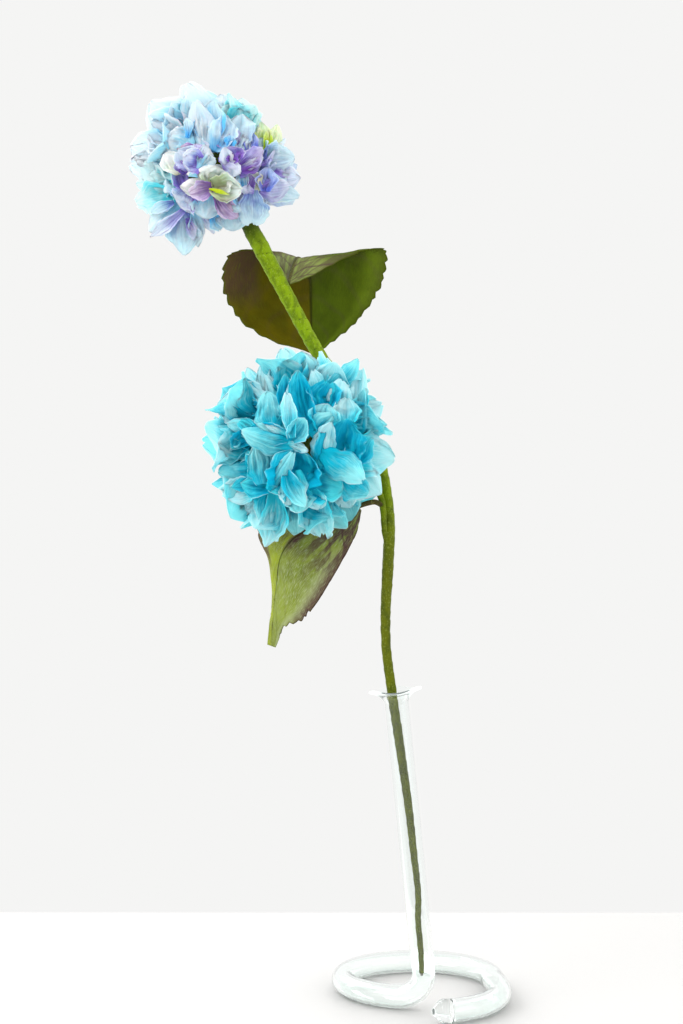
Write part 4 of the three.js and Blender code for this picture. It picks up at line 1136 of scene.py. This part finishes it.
# Florets of each head: round, off, twist, dyed paper and, where it isn't 1, size.
# Laid petals: paper, root and tip as picture pixels with mm out, width in pixels, cup, arch, point and fade.
LOWER_HEAD = {
    "seed": 11,
    "middle": Vector((-73.5, -48, 336)),
    "hub": Vector((-67.5, -46, 333.6)),
    "root_radius": 10.0,
    "claw_height": 14.0,
    "petal_length": 33.0,
    "petal_width": 25.0,
    "florets": [
        (130, 13, 15, "deep_turquoise"), (-92, 40, 40, "deep_turquoise"), (-6, 43, 75, "deep_turquoise"),
        (60, 47, 10, "turquoise"), (116, 50, 60, "turquoise"), (-150, 54, 20, "turquoise"),
        (24, 82, 30, "turquoise"), (62, 92, 0, "pale_aqua"), (99, 92, 50, "turquoise"),
        (144, 84, 80, "turquoise"), (178, 84, 25, "pale_aqua"), (-142, 98, 60, "turquoise"),
        (-112, 86, 10, "pale_aqua"), (-70, 80, 45, "turquoise"), (-34, 82, 70, "turquoise", 0.75),
        (100, 140, 30, "turquoise"), (-170, 136, 0, "turquoise"), (10, 128, 60, "turquoise"),
        (-90, 132, 20, "turquoise"), (50, 116, 70, "turquoise"), (-50, 118, 40, "turquoise"),
        (150, 118, 30, "turquoise"), (-140, 132, 80, "turquoise"), (0, 168, 10, "turquoise"),
    ],
    "laid": [
        # The outer petals, clockwise from the left.
        ("turquoise", (254, 440, 10), (203, 442, 0), 29, 0.25, 0.05, 0.5, 0.1),
        ("deep_turquoise", (250, 426, 16), (232, 449, 13), 17, 0.3, 0.0, 0.5, -0.35),
        ("pale_aqua", (260, 414, 8), (217, 404, -2), 38, 0.25, 0.05, 0.4, 0.4),
        ("pale_aqua", (268, 406, 14), (228, 389, 6), 27, -0.2, 0.0, 0.5, 0.3),
        # Painted shade: this narrow deep turquoise petal stands for the shaded underside of the pale petal
        # before it.
        ("deep_turquoise", (270, 411, 12), (238, 402, 8), 14, 0.3, 0.0, 0.6, -0.2),
        ("pale_aqua", (267, 412, 6), (247, 367, 0), 18, 0.2, 0.05, 0.35, 0.25),
        ("pale_aqua", (280, 412, 8), (263, 365, 0), 24, -0.2, 0.0, 0.5, 0.15),
        ("pale_aqua", (296, 402, 4), (282, 349, -2), 32, 0.2, 0.0, 0.45, 0.45),
        ("pale_aqua", (312, 402, 0), (302, 352, -4), 28, 0.2, 0.05, 0.6, 0.45),
        ("pale_aqua", (320, 402, -2), (324, 357, -6), 28, -0.2, 0.0, 0.5, 0.4),
        ("turquoise", (318, 394, 12), (358, 360, 4), 19, 0.25, -0.05, 0.35, 0.1),
        ("pale_aqua", (358, 424, 14), (358, 369, 4), 26, 0.3, 0.05, 0.45, 0.1),
        ("pale_aqua", (345, 422, 16), (350, 385, 10), 17, -0.2, 0.0, 0.6, 0.4),
        ("pale_aqua", (350, 422, 4), (383, 403, -2), 22, 0.3, 0.0, 0.7, 0.35),
        ("turquoise", (342, 425, 22), (387, 425, 12), 22, -0.2, 0.0, 0.6, 0.0),
        ("pale_aqua", (340, 455, 16), (395, 458, 4), 42, 0.2, 0.05, 0.4, -0.05),
        ("pale_aqua", (342, 466, 18), (381, 494, 8), 33, 0.2, 0.0, 0.45, 0.2),
        ("pale_aqua", (338, 476, 12), (351, 509, 2), 30, 0.25, 0.0, 0.35, 0.45),
        ("pale_aqua", (318, 488, 22), (321, 537, 10), 40, 0.3, 0.05, 0.35, 0.05),
        ("turquoise", (297, 494, 16), (297, 534, 6), 28, -0.2, 0.0, 0.5, 0.0),
        ("pale_aqua", (275, 488, 24), (266, 544, 6), 26, 0.25, -0.03, 0.7, -0.1),
        ("turquoise", (268, 484, 27), (262, 524, 16), 16, -0.25, 0.0, 0.6, -0.2),
        ("turquoise", (284, 486, 22), (286, 526, 10), 24, -0.2, 0.0, 0.5, -0.15),
        ("pale_aqua", (264, 490, 14), (246, 511, 4), 22, 0.2, 0.0, 0.4, 0.1),
        ("pale_aqua", (264, 486, 8), (234, 518, -4), 24, 0.2, 0.0, 0.6, 0.45),
        ("pale_aqua", (264, 482, 18), (221, 492, 4), 24, 0.3, 0.05, 0.5, 0.15),
        ("turquoise", (260, 470, 16), (220, 471, 2), 23, -0.2, 0.0, 0.3, -0.05),
        ("deep_turquoise", (258, 478, 20), (232, 487, 12), 13, 0.3, 0.0, 0.5, -0.2),
        ("pale_aqua", (256, 456, 10), (212, 458, -4), 20, 0.2, 0.0, 0.5, 0.4),
        # The second row, behind the three florets in front.
        ("turquoise", (272, 430, 32), (268, 390, 24), 27, -0.2, 0.0, 0.5, 0.1),
        ("deep_turquoise", (288, 422, 22), (285, 375, 14), 19, 0.3, 0.0, 0.7, -0.3),
        ("pale_aqua", (293, 420, 27), (289, 380, 17), 9, 0.3, 0.0, 0.7, 0.1),
        ("deep_turquoise", (312, 430, 34), (298, 369, 26), 27, 0.25, 0.05, 0.4, -0.35),
        ("pale_aqua", (320, 414, 22), (313, 369, 16), 20, -0.25, 0.0, 0.7, 0.1),
        ("deep_turquoise", (325, 416, 28), (329, 381, 22), 30, 0.3, 0.05, 0.5, -0.2),
        ("pale_aqua", (338, 420, 28), (342, 378, 20), 23, -0.2, 0.0, 0.5, 0.15),
        ("turquoise", (322, 434, 34), (326, 404, 32), 29, 0.4, 0.08, 0.3, -0.1),
        ("turquoise", (310, 435, 38), (334, 414, 36), 20, -0.25, 0.0, 0.5, 0.05),
        ("pale_aqua", (345, 427, 30), (347, 397, 26), 23, 0.2, 0.0, 0.5, 0.25),
        ("turquoise", (262, 433, 24), (228, 424, 14), 17, -0.2, 0.0, 0.5, -0.05),
        ("deep_turquoise", (258, 440, 26), (240, 422, 18), 15, 0.3, 0.0, 0.5, -0.2),
        ("turquoise", (262, 484, 32), (255, 445, 27), 25, -0.25, 0.0, 0.7, 0.05),
        ("deep_turquoise", (272, 488, 28), (240, 483, 20), 23, 0.3, 0.0, 0.5, -0.2),
        ("deep_turquoise", (262, 468, 24), (246, 452, 22), 18, 0.2, 0.0, 0.5, -0.2),
        # The floret in front on the left.
        ("deep_turquoise", (291, 437, 36), (252, 427, 36), 22, 0.5, 0.1, 0.5, -0.4),
        ("turquoise", (289, 433, 39), (256, 424, 40), 10, -0.3, 0.0, 0.5, 0.45),
        ("pale_aqua", (287, 434, 42), (265, 425, 42), 8, -0.3, 0.0, 0.5, 0.4),
        ("turquoise", (300, 447, 40), (242, 431, 42), 25, -0.3, -0.05, 0.6, 0.05),
        ("pale_aqua", (293, 438, 42), (288, 393, 40), 15, 0.45, 0.0, 0.8, 0.05),
        ("turquoise", (292, 440, 40), (305, 418, 46), 21, 0.45, 0.1, 0.6, 0.05),
        ("pale_aqua", (288, 443, 41), (308, 452, 43), 9, -0.2, 0.0, 0.4, 0.2),
        # The large bowl on the right with its tongue.
        ("deep_turquoise", (342, 474, 30), (346, 420, 38), 52, 0.3, 0.14, 0.35, -0.45),
        ("deep_turquoise", (345, 466, 30), (371, 438, 26), 28, 0.2, 0.0, 0.5, -0.2),
        ("turquoise", (340, 474, 32), (368, 493, 24), 30, -0.2, 0.0, 0.5, -0.1),
        ("pale_aqua", (321, 468, 38), (331, 422, 41), 24, -0.3, 0.0, 0.5, 0.1),
        ("turquoise", (318, 449, 40), (364, 481, 42), 28, -0.25, -0.08, 0.6, 0.0),
        # The floret in front, low in the middle.
        ("deep_turquoise", (290, 484, 34), (294, 450, 42), 54, 0.45, 0.12, 0.3, -0.35),
        ("turquoise", (268, 490, 42), (293, 452, 44), 13, -0.35, -0.1, 0.5, 0.1),
        ("deep_turquoise", (290, 483, 38), (267, 488, 40), 18, 0.4, 0.05, 0.5, -0.25),
        ("turquoise", (286, 472, 43), (306, 507, 47), 18, 0.45, 0.0, 0.6, 0.0),
        ("pale_aqua", (298, 470, 43), (303, 498, 45), 12, -0.3, 0.0, 0.6, 0.1),
        ("pale_aqua", (285, 482, 43), (289, 505, 45), 13, -0.3, 0.0, 0.5, 0.2),
        ("deep_turquoise", (302, 482, 34), (343, 490, 34), 35, 0.15, -0.05, 0.25, -0.2),
        ("turquoise", (294, 490, 38), (301, 513, 41), 28, 0.2, 0.0, 0.4, 0.15),
        ("pale_aqua", (312, 490, 36), (319, 509, 35), 22, 0.3, 0.0, 0.4, 0.2),
    ],
}

UPPER_HEAD = {
    "seed": 23,
    "middle": Vector((-124.3, -10, 508.5)),
    "hub": Vector((-120.8, -9.8, 502.6)),
    "root_radius": 9.0,
    "claw_height": 12.0,
    "petal_length": 30.5,
    "petal_width": 23.0,
    "florets": [
        (-96, 22, 45, "greenish"), (152, 34, 15, "lavender"), (38, 32, 60, "violet"),
        (96, 60, 30, "sky"), (-6, 72, 0, "lavender"), (-46, 58, 50, "lavender"), (-108, 66, 20, "sky"),
        (-158, 70, 65, "seafoam"), (160, 74, 40, "ice"), (128, 84, 10, "ice"), (28, 76, 80, "lavender", 0.5),
        (66, 84, 35, "seafoam", 0.8), (-128, 104, 55, "lavender"), (100, 118, 0, "sky"),
        (-10, 124, 45, "lavender"), (160, 126, 70, "ice"), (-170, 172, 20, "sky"),
        (60, 132, 10, "sky"), (-150, 130, 35, "ice"),
        (40, 108, 50, "seafoam", 0.6), (120, 142, 25, "ice"), (-20, 152, 65, "lavender"),
        (8, 98, 15, "lavender", 0.8), (66, 106, 40, "sky", 0.8), (-40, 100, 20, "lavender", 0.6),
        (-96, 98, 50, "sky", 0.5), (32, 150, 30, "sky", 0.8),
    ],
    "laid": [
        # The outer petals, clockwise from the top.
        ("ice", (202, 150, 8), (187, 85, -3), 38, 0.2, 0.05, 0.4, 0.3),
        ("ice", (222, 136, 8), (222, 92, -3), 34, 0.2, 0.05, 0.4, 0.2),
        ("seafoam", (240, 142, 8), (242, 97, -3), 36, 0.2, 0.0, 0.4, 0.3),
        ("seafoam", (238, 146, 12), (255, 112, 0), 28, -0.2, 0.0, 0.45, 0.25),
        ("lime", (262, 152, 10), (261, 121, 3), 15, 0.3, 0.0, 0.6, 0.2),
        ("lime", (266, 152, 8), (278, 123, 0), 15, -0.2, 0.0, 0.6, 0.3),
        ("lime", (264, 152, 14), (268, 130, 8), 9, 0.3, 0.0, 0.6, -0.1),
        ("slate", (254, 166, 16), (294, 158, 2), 38, 0.2, -0.05, 0.4, 0.35),
        ("lavender", (262, 178, 14), (301, 178, 2), 32, -0.2, 0.0, 0.45, 0.1),
        ("slate", (256, 190, 16), (301, 197, 4), 17, 0.2, 0.0, 0.6, 0.3),
        ("slate", (228, 206, 22), (234, 232, 12), 32, -0.2, 0.0, 0.35, 0.35),
        ("sky", (212, 208, 18), (221, 231, 8), 13, 0.3, 0.0, 0.5, -0.1),
        ("lavender", (202, 212, 16), (214, 234, 8), 11, -0.3, 0.0, 0.4, 0.2),
        ("ice", (194, 208, 14), (198, 247, 2), 16, 0.2, 0.0, 0.5, 0.15),
        ("lavender", (187, 218, 12), (194, 241, 8), 10, 0.3, 0.0, 0.5, 0.1),
        ("slate", (182, 212, 12), (184, 255, 0), 29, 0.2, -0.04, 0.45, 0.35),
        ("lavender", (184, 210, 18), (149, 238, 6), 13, 0.4, -0.06, 0.7, 0.4),
        ("ice", (180, 206, 14), (149, 232, 2), 28, -0.2, 0.0, 0.5, 0.35),
        ("slate", (174, 202, 18), (151, 213, 11), 12, 0.3, 0.0, 0.6, 0.3),
        ("seafoam", (176, 196, 14), (136, 203, 1), 27, 0.25, 0.05, 0.4, -0.05),
        ("seafoam", (178, 188, 14), (136, 184, 0), 26, -0.2, 0.0, 0.5, 0.35),
        ("seafoam", (180, 176, 10), (144, 165, 2), 28, 0.2, 0.0, 0.4, 0.3),
        ("ice", (180, 172, 8), (132, 163, -4), 32, 0.2, 0.0, 0.4, 0.35),
        ("ice", (182, 162, 8), (132, 147, -4), 40, 0.2, 0.0, 0.45, 0.35),
        ("ice", (190, 148, 14), (150, 127, 2), 38, 0.25, 0.0, 0.4, 0.3),
        ("ice", (192, 142, 8), (152, 104, -3), 42, 0.2, 0.0, 0.45, 0.35),
        # The second row, above the florets in front.
        ("sky", (212, 152, 22), (212, 103, 12), 30, 0.2, 0.0, 0.4, 0.1),
        ("ice", (203, 152, 28), (196, 103, 18), 26, -0.25, 0.0, 0.5, 0.25),
        ("sky", (188, 138, 24), (186, 116, 20), 10, 0.3, 0.0, 0.5, 0.15),
        ("ice", (192, 150, 26), (162, 141, 18), 28, -0.2, 0.0, 0.5, 0.3),
        ("sky", (216, 152, 28), (226, 113, 20), 26, 0.25, 0.03, 0.5, 0.45),
        ("slate", (238, 152, 20), (240, 117, 12), 30, 0.2, 0.0, 0.4, 0.25),
        ("sky", (230, 150, 27), (231, 135, 25), 12, 0.3, 0.0, 0.5, -0.3),
        ("sky", (238, 160, 28), (250, 131, 18), 20, -0.25, 0.0, 0.6, 0.35),
        ("indigo", (250, 158, 24), (252, 131, 16), 14, 0.3, 0.0, 0.6, 0.0),
        ("slate", (262, 160, 18), (262, 138, 10), 18, 0.2, 0.0, 0.5, 0.3),
        ("rose", (200, 150, 30), (178, 149, 22), 11, 0.3, 0.0, 0.6, 0.1),
        ("slate", (182, 198, 22), (166, 175, 12), 22, 0.2, 0.0, 0.4, 0.3),
        ("lavender", (186, 194, 26), (177, 165, 22), 14, 0.3, 0.0, 0.5, 0.0),
        # The lavender floret on the left.
        ("greenish", (180, 174, 28), (165, 154, 22), 22, 0.2, 0.0, 0.4, 0.35),
        ("lavender", (202, 168, 32), (178, 151, 30), 28, 0.35, 0.05, 0.45, 0.15),
        ("violet", (186, 174, 30), (177, 160, 28), 13, 0.3, 0.0, 0.5, -0.1),
        ("violet", (201, 160, 34), (196, 144, 32), 16, 0.3, 0.0, 0.6, -0.2),
        ("lavender", (202, 163, 36), (183, 160, 40), 24, 0.5, 0.1, 0.3, 0.0),
        ("ice", (200, 169, 39), (206, 145, 40), 18, -0.25, 0.0, 0.5, 0.2),
        ("ice", (202, 164, 39), (216, 160, 38), 15, 0.2, 0.0, 0.5, 0.25),
        # The violet floret on the right.
        ("violet", (233, 167, 30), (229, 147, 31), 26, 0.35, 0.05, 0.5, -0.25),
        ("violet", (236, 168, 32), (264, 149, 26), 17, 0.3, 0.0, 0.6, -0.1),
        ("lavender", (238, 170, 35), (264, 157, 28), 11, -0.3, 0.0, 0.6, 0.1),
        ("violet", (240, 172, 35), (262, 164, 29), 9, 0.3, 0.0, 0.6, -0.2),
        ("lavender", (240, 176, 33), (256, 168, 29), 10, -0.3, 0.0, 0.5, 0.1),
        ("violet", (231, 163, 37), (233, 153, 39), 13, 0.5, 0.0, 0.4, -0.5),
        ("lavender", (227, 171, 37), (224, 147, 42), 14, -0.35, -0.05, 0.5, 0.35),
        ("lavender", (223, 163, 39), (241, 173, 41), 15, -0.35, -0.05, 0.4, 0.3),
        # The blue-violet hollow at the right.
        ("sky", (245, 192, 29), (240, 172, 29), 13, 0.2, 0.0, 0.5, 0.1),
        ("greenish", (259, 191, 27), (248, 170, 27), 15, -0.2, 0.0, 0.5, 0.1),
        ("violet", (252, 192, 28), (247, 172, 29), 8, 0.3, 0.0, 0.5, -0.1),
        ("indigo", (266, 192, 25), (268, 168, 25), 21, 0.4, 0.12, 0.1, 0.3),
        ("lavender", (260, 190, 27), (290, 186, 16), 24, -0.2, 0.0, 0.4, 0.0),
        # Below the middle floret.
        ("lavender", (192, 196, 30), (179, 206, 27), 28, 0.25, 0.0, 0.35, 0.3),
        ("lavender", (193, 192, 33), (188, 204, 31), 14, 0.3, 0.0, 0.5, -0.1),
        ("sky", (208, 194, 34), (205, 219, 31), 31, -0.2, 0.0, 0.3, 0.2),
        ("rose", (214, 190, 36), (238, 218, 28), 19, 0.3, 0.0, 0.5, -0.05),
        ("sky", (228, 194, 34), (240, 212, 30), 13, -0.2, 0.0, 0.5, 0.2),
        ("slate", (252, 190, 28), (253, 225, 22), 28, 0.15, 0.0, 0.1, 0.25),
        ("lavender", (254, 192, 30), (240, 189, 32), 9, -0.3, 0.0, 0.5, 0.15),
        # The white-green floret in the middle.
        ("cream", (212, 186, 37), (222, 169, 42), 32, 0.4, 0.06, 0.35, 0.35),
        ("greenish", (214, 184, 39), (180, 186, 43), 20, -0.25, 0.0, 0.6, 0.25),
        ("cream", (212, 186, 39), (242, 189, 43), 27, 0.5, 0.1, 0.35, -0.1),
        ("rose", (212, 187, 41), (190, 194, 43), 18, 0.35, 0.04, 0.5, 0.15),
        ("lime", (209, 189, 44), (230, 195, 45), 4, -0.3, -0.04, 0.6, -0.5),
    ],
}


class HYDRANGEA_OT_heads(bpy.types.Operator):
    """Adds both flower heads: florets of dyed crepe petals on wrapped stalks"""

    bl_idname = "hydrangea.heads"
    bl_label = "Flower Heads"

    def execute(self, context):
        sizes, colours = context.scene.hydrangea_sizes, context.scene.hydrangea_colours
        papers = {
            paper: [tuple(getattr(colours, f"{paper}_{zone}")) for zone in ("root", "tip", "rim")]
            for paper in DYED_PAPERS
        }
        crepe = dyed_petal_crepe()
        tape = floral_crepe_tape("dark_crepe_stalk_tape", linear("#38400F"), linear("#4A5418"))
        for name, head, slot in (
            ("lower_head", LOWER_HEAD, "turquoise_petal_paper"),
            ("upper_head", UPPER_HEAD, "lavender_petal_paper"),
        ):
            petals = add_head(name + "_petals", head, sizes, papers, crepe)
            settle(petals, slot, name)
            settle(add_laid_petals(name + "_front_petals", head, sizes, papers, crepe), slot)
            settle(add_stalks(name + "_stalks", head, sizes, tape), "green_wrap")
        return {"FINISHED"}


# ---- Stage ----------------------------------------------------------------------------------------------


def matt_white_board():
    """Matt white-painted board: without gloss, with a faint roller texture, just white under the lamps."""
    finish = Finish(bpy.data.materials.new("matt_white_board"))
    place = finish.add("place")
    tooth = finish.grain(place, (900, 900, 900), 2.0)
    colour = finish.add("mix", tooth, linear("#CCCBCA"), linear("#D2D1D0"))
    bump = finish.add("bump", 0.08, 0.0003, tooth)
    return finish.done({"Base Color": colour, "Roughness": 0.55, "Normal": bump})


def look_from(place, target):
    """The turn that points a lamp or a camera from a place at a target."""
    return (Vector(target) - Vector(place)).to_track_quat("-Z", "Y").to_matrix().to_4x4()


def add_softbox(name, place, target, width, height, power, colour="#FFFFFF"):
    lamp = bpy.data.lights.new(name, "AREA")
    lamp.shape = "RECTANGLE"
    lamp.size, lamp.size_y = width, height
    lamp.energy = power
    lamp.color = linear(colour)[:3]
    softbox = bpy.data.objects.new(name, lamp)
    bpy.context.scene.collection.objects.link(softbox)
    softbox.matrix_world = Matrix.Translation(Vector(place)) @ look_from(place, target)


class HYDRANGEA_OT_stage(bpy.types.Operator):
    """Adds the table, the white surround, the soft lights and the camera"""

    bl_idname = "hydrangea.stage"
    bl_label = "Stage"

    def execute(self, context):
        scene = context.scene
        deselect()
        width, depth = 4.0, 3.0
        back = set_in_frame((0, TABLE_BACK, 0))
        middle = (back.x, back.y - depth / 2, -0.0004)
        bpy.ops.mesh.primitive_plane_add(size=1, location=middle)
        table = context.object
        table.name = "table"
        table.scale = (width, depth, 1)
        bpy.ops.object.transform_apply(location=True, rotation=True, scale=True)
        table.data.materials.append(matt_white_board())

        # A white surround: pale where it is seen, also through the glass, and brighter as a light.
        world = bpy.data.worlds.new("white_surround")
        scene.world = world
        finish = Finish(world)
        ray = finish.add("ray")
        seen = finish.add("larger", ray["Is Camera Ray"], ray["Is Transmission Ray"])
        seen = finish.add("larger", seen, ray["Is Singular Ray"])
        strength = finish.add("spread", seen, 0.0, 1.0, 1.45, 1.0)
        finish.add("world", finish.add("background", linear("#F5F5F4"), strength))

        centre = set_in_frame((-60, -20, 330))
        add_softbox("key_left", centre + Vector((-0.9, -0.7, 0.75)), centre, 0.7, 0.9, 6)
        add_softbox("fill_right", centre + Vector((1.1, -0.8, 0.2)), centre, 0.9, 0.9, 2)
        add_softbox("back_left", centre + Vector((-0.7, 0.8, 0.5)), centre, 0.6, 0.8, 5)

        camera = bpy.data.cameras.new("camera")
        camera.lens = CAMERA_LENS
        camera.sensor_width = 36.0
        camera.clip_end = 20
        eye = bpy.data.objects.new("camera", camera)
        scene.collection.objects.link(eye)
        level = Matrix.Rotation(math.pi / 2, 4, "X")
        eye.matrix_world = Matrix.Translation(set_in_frame(CAMERA_PLACE)) @ level
        scene.camera = eye
        scene.view_settings.view_transform = "Standard"
        return {"FINISHED"}


# ---- Panel and registration -----------------------------------------------------------------------------

OPERATORS = (
    HYDRANGEA_OT_vase,
    HYDRANGEA_OT_stems,
    HYDRANGEA_OT_leaves,
    HYDRANGEA_OT_heads,
    HYDRANGEA_OT_stage,
)


class HYDRANGEA_PT_panel(bpy.types.Panel):
    """Lists the pieces with the sizes and colours that can be changed"""

    bl_label = "Paper Hydrangeas"
    bl_idname = "HYDRANGEA_PT_panel"
    bl_space_type = "VIEW_3D"
    bl_region_type = "UI"
    bl_category = "Hydrangeas"

    def draw(self, context):
        for operator in OPERATORS:
            self.layout.operator(operator.bl_idname)
        for group in (context.scene.hydrangea_sizes, context.scene.hydrangea_colours):
            box = self.layout.box()
            for name in type(group).__annotations__:
                box.prop(group, name)


CLASSES = (HydrangeaSizes, HydrangeaColours, *OPERATORS, HYDRANGEA_PT_panel)


def register():
    for cls in CLASSES:
        bpy.utils.register_class(cls)
    bpy.types.Scene.hydrangea_sizes = bpy.props.PointerProperty(type=HydrangeaSizes)
    bpy.types.Scene.hydrangea_colours = bpy.props.PointerProperty(type=HydrangeaColours)


def unregister():
    del bpy.types.Scene.hydrangea_colours
    del bpy.types.Scene.hydrangea_sizes
    for cls in reversed(CLASSES):
        bpy.utils.unregister_class(cls)


def main():
    register()
    deselect()
    bpy.ops.hydrangea.vase()
    bpy.ops.hydrangea.stems()
    bpy.ops.hydrangea.leaves()
    bpy.ops.hydrangea.heads()
    bpy.ops.hydrangea.stage()


if __name__ == "__main__":
    main()
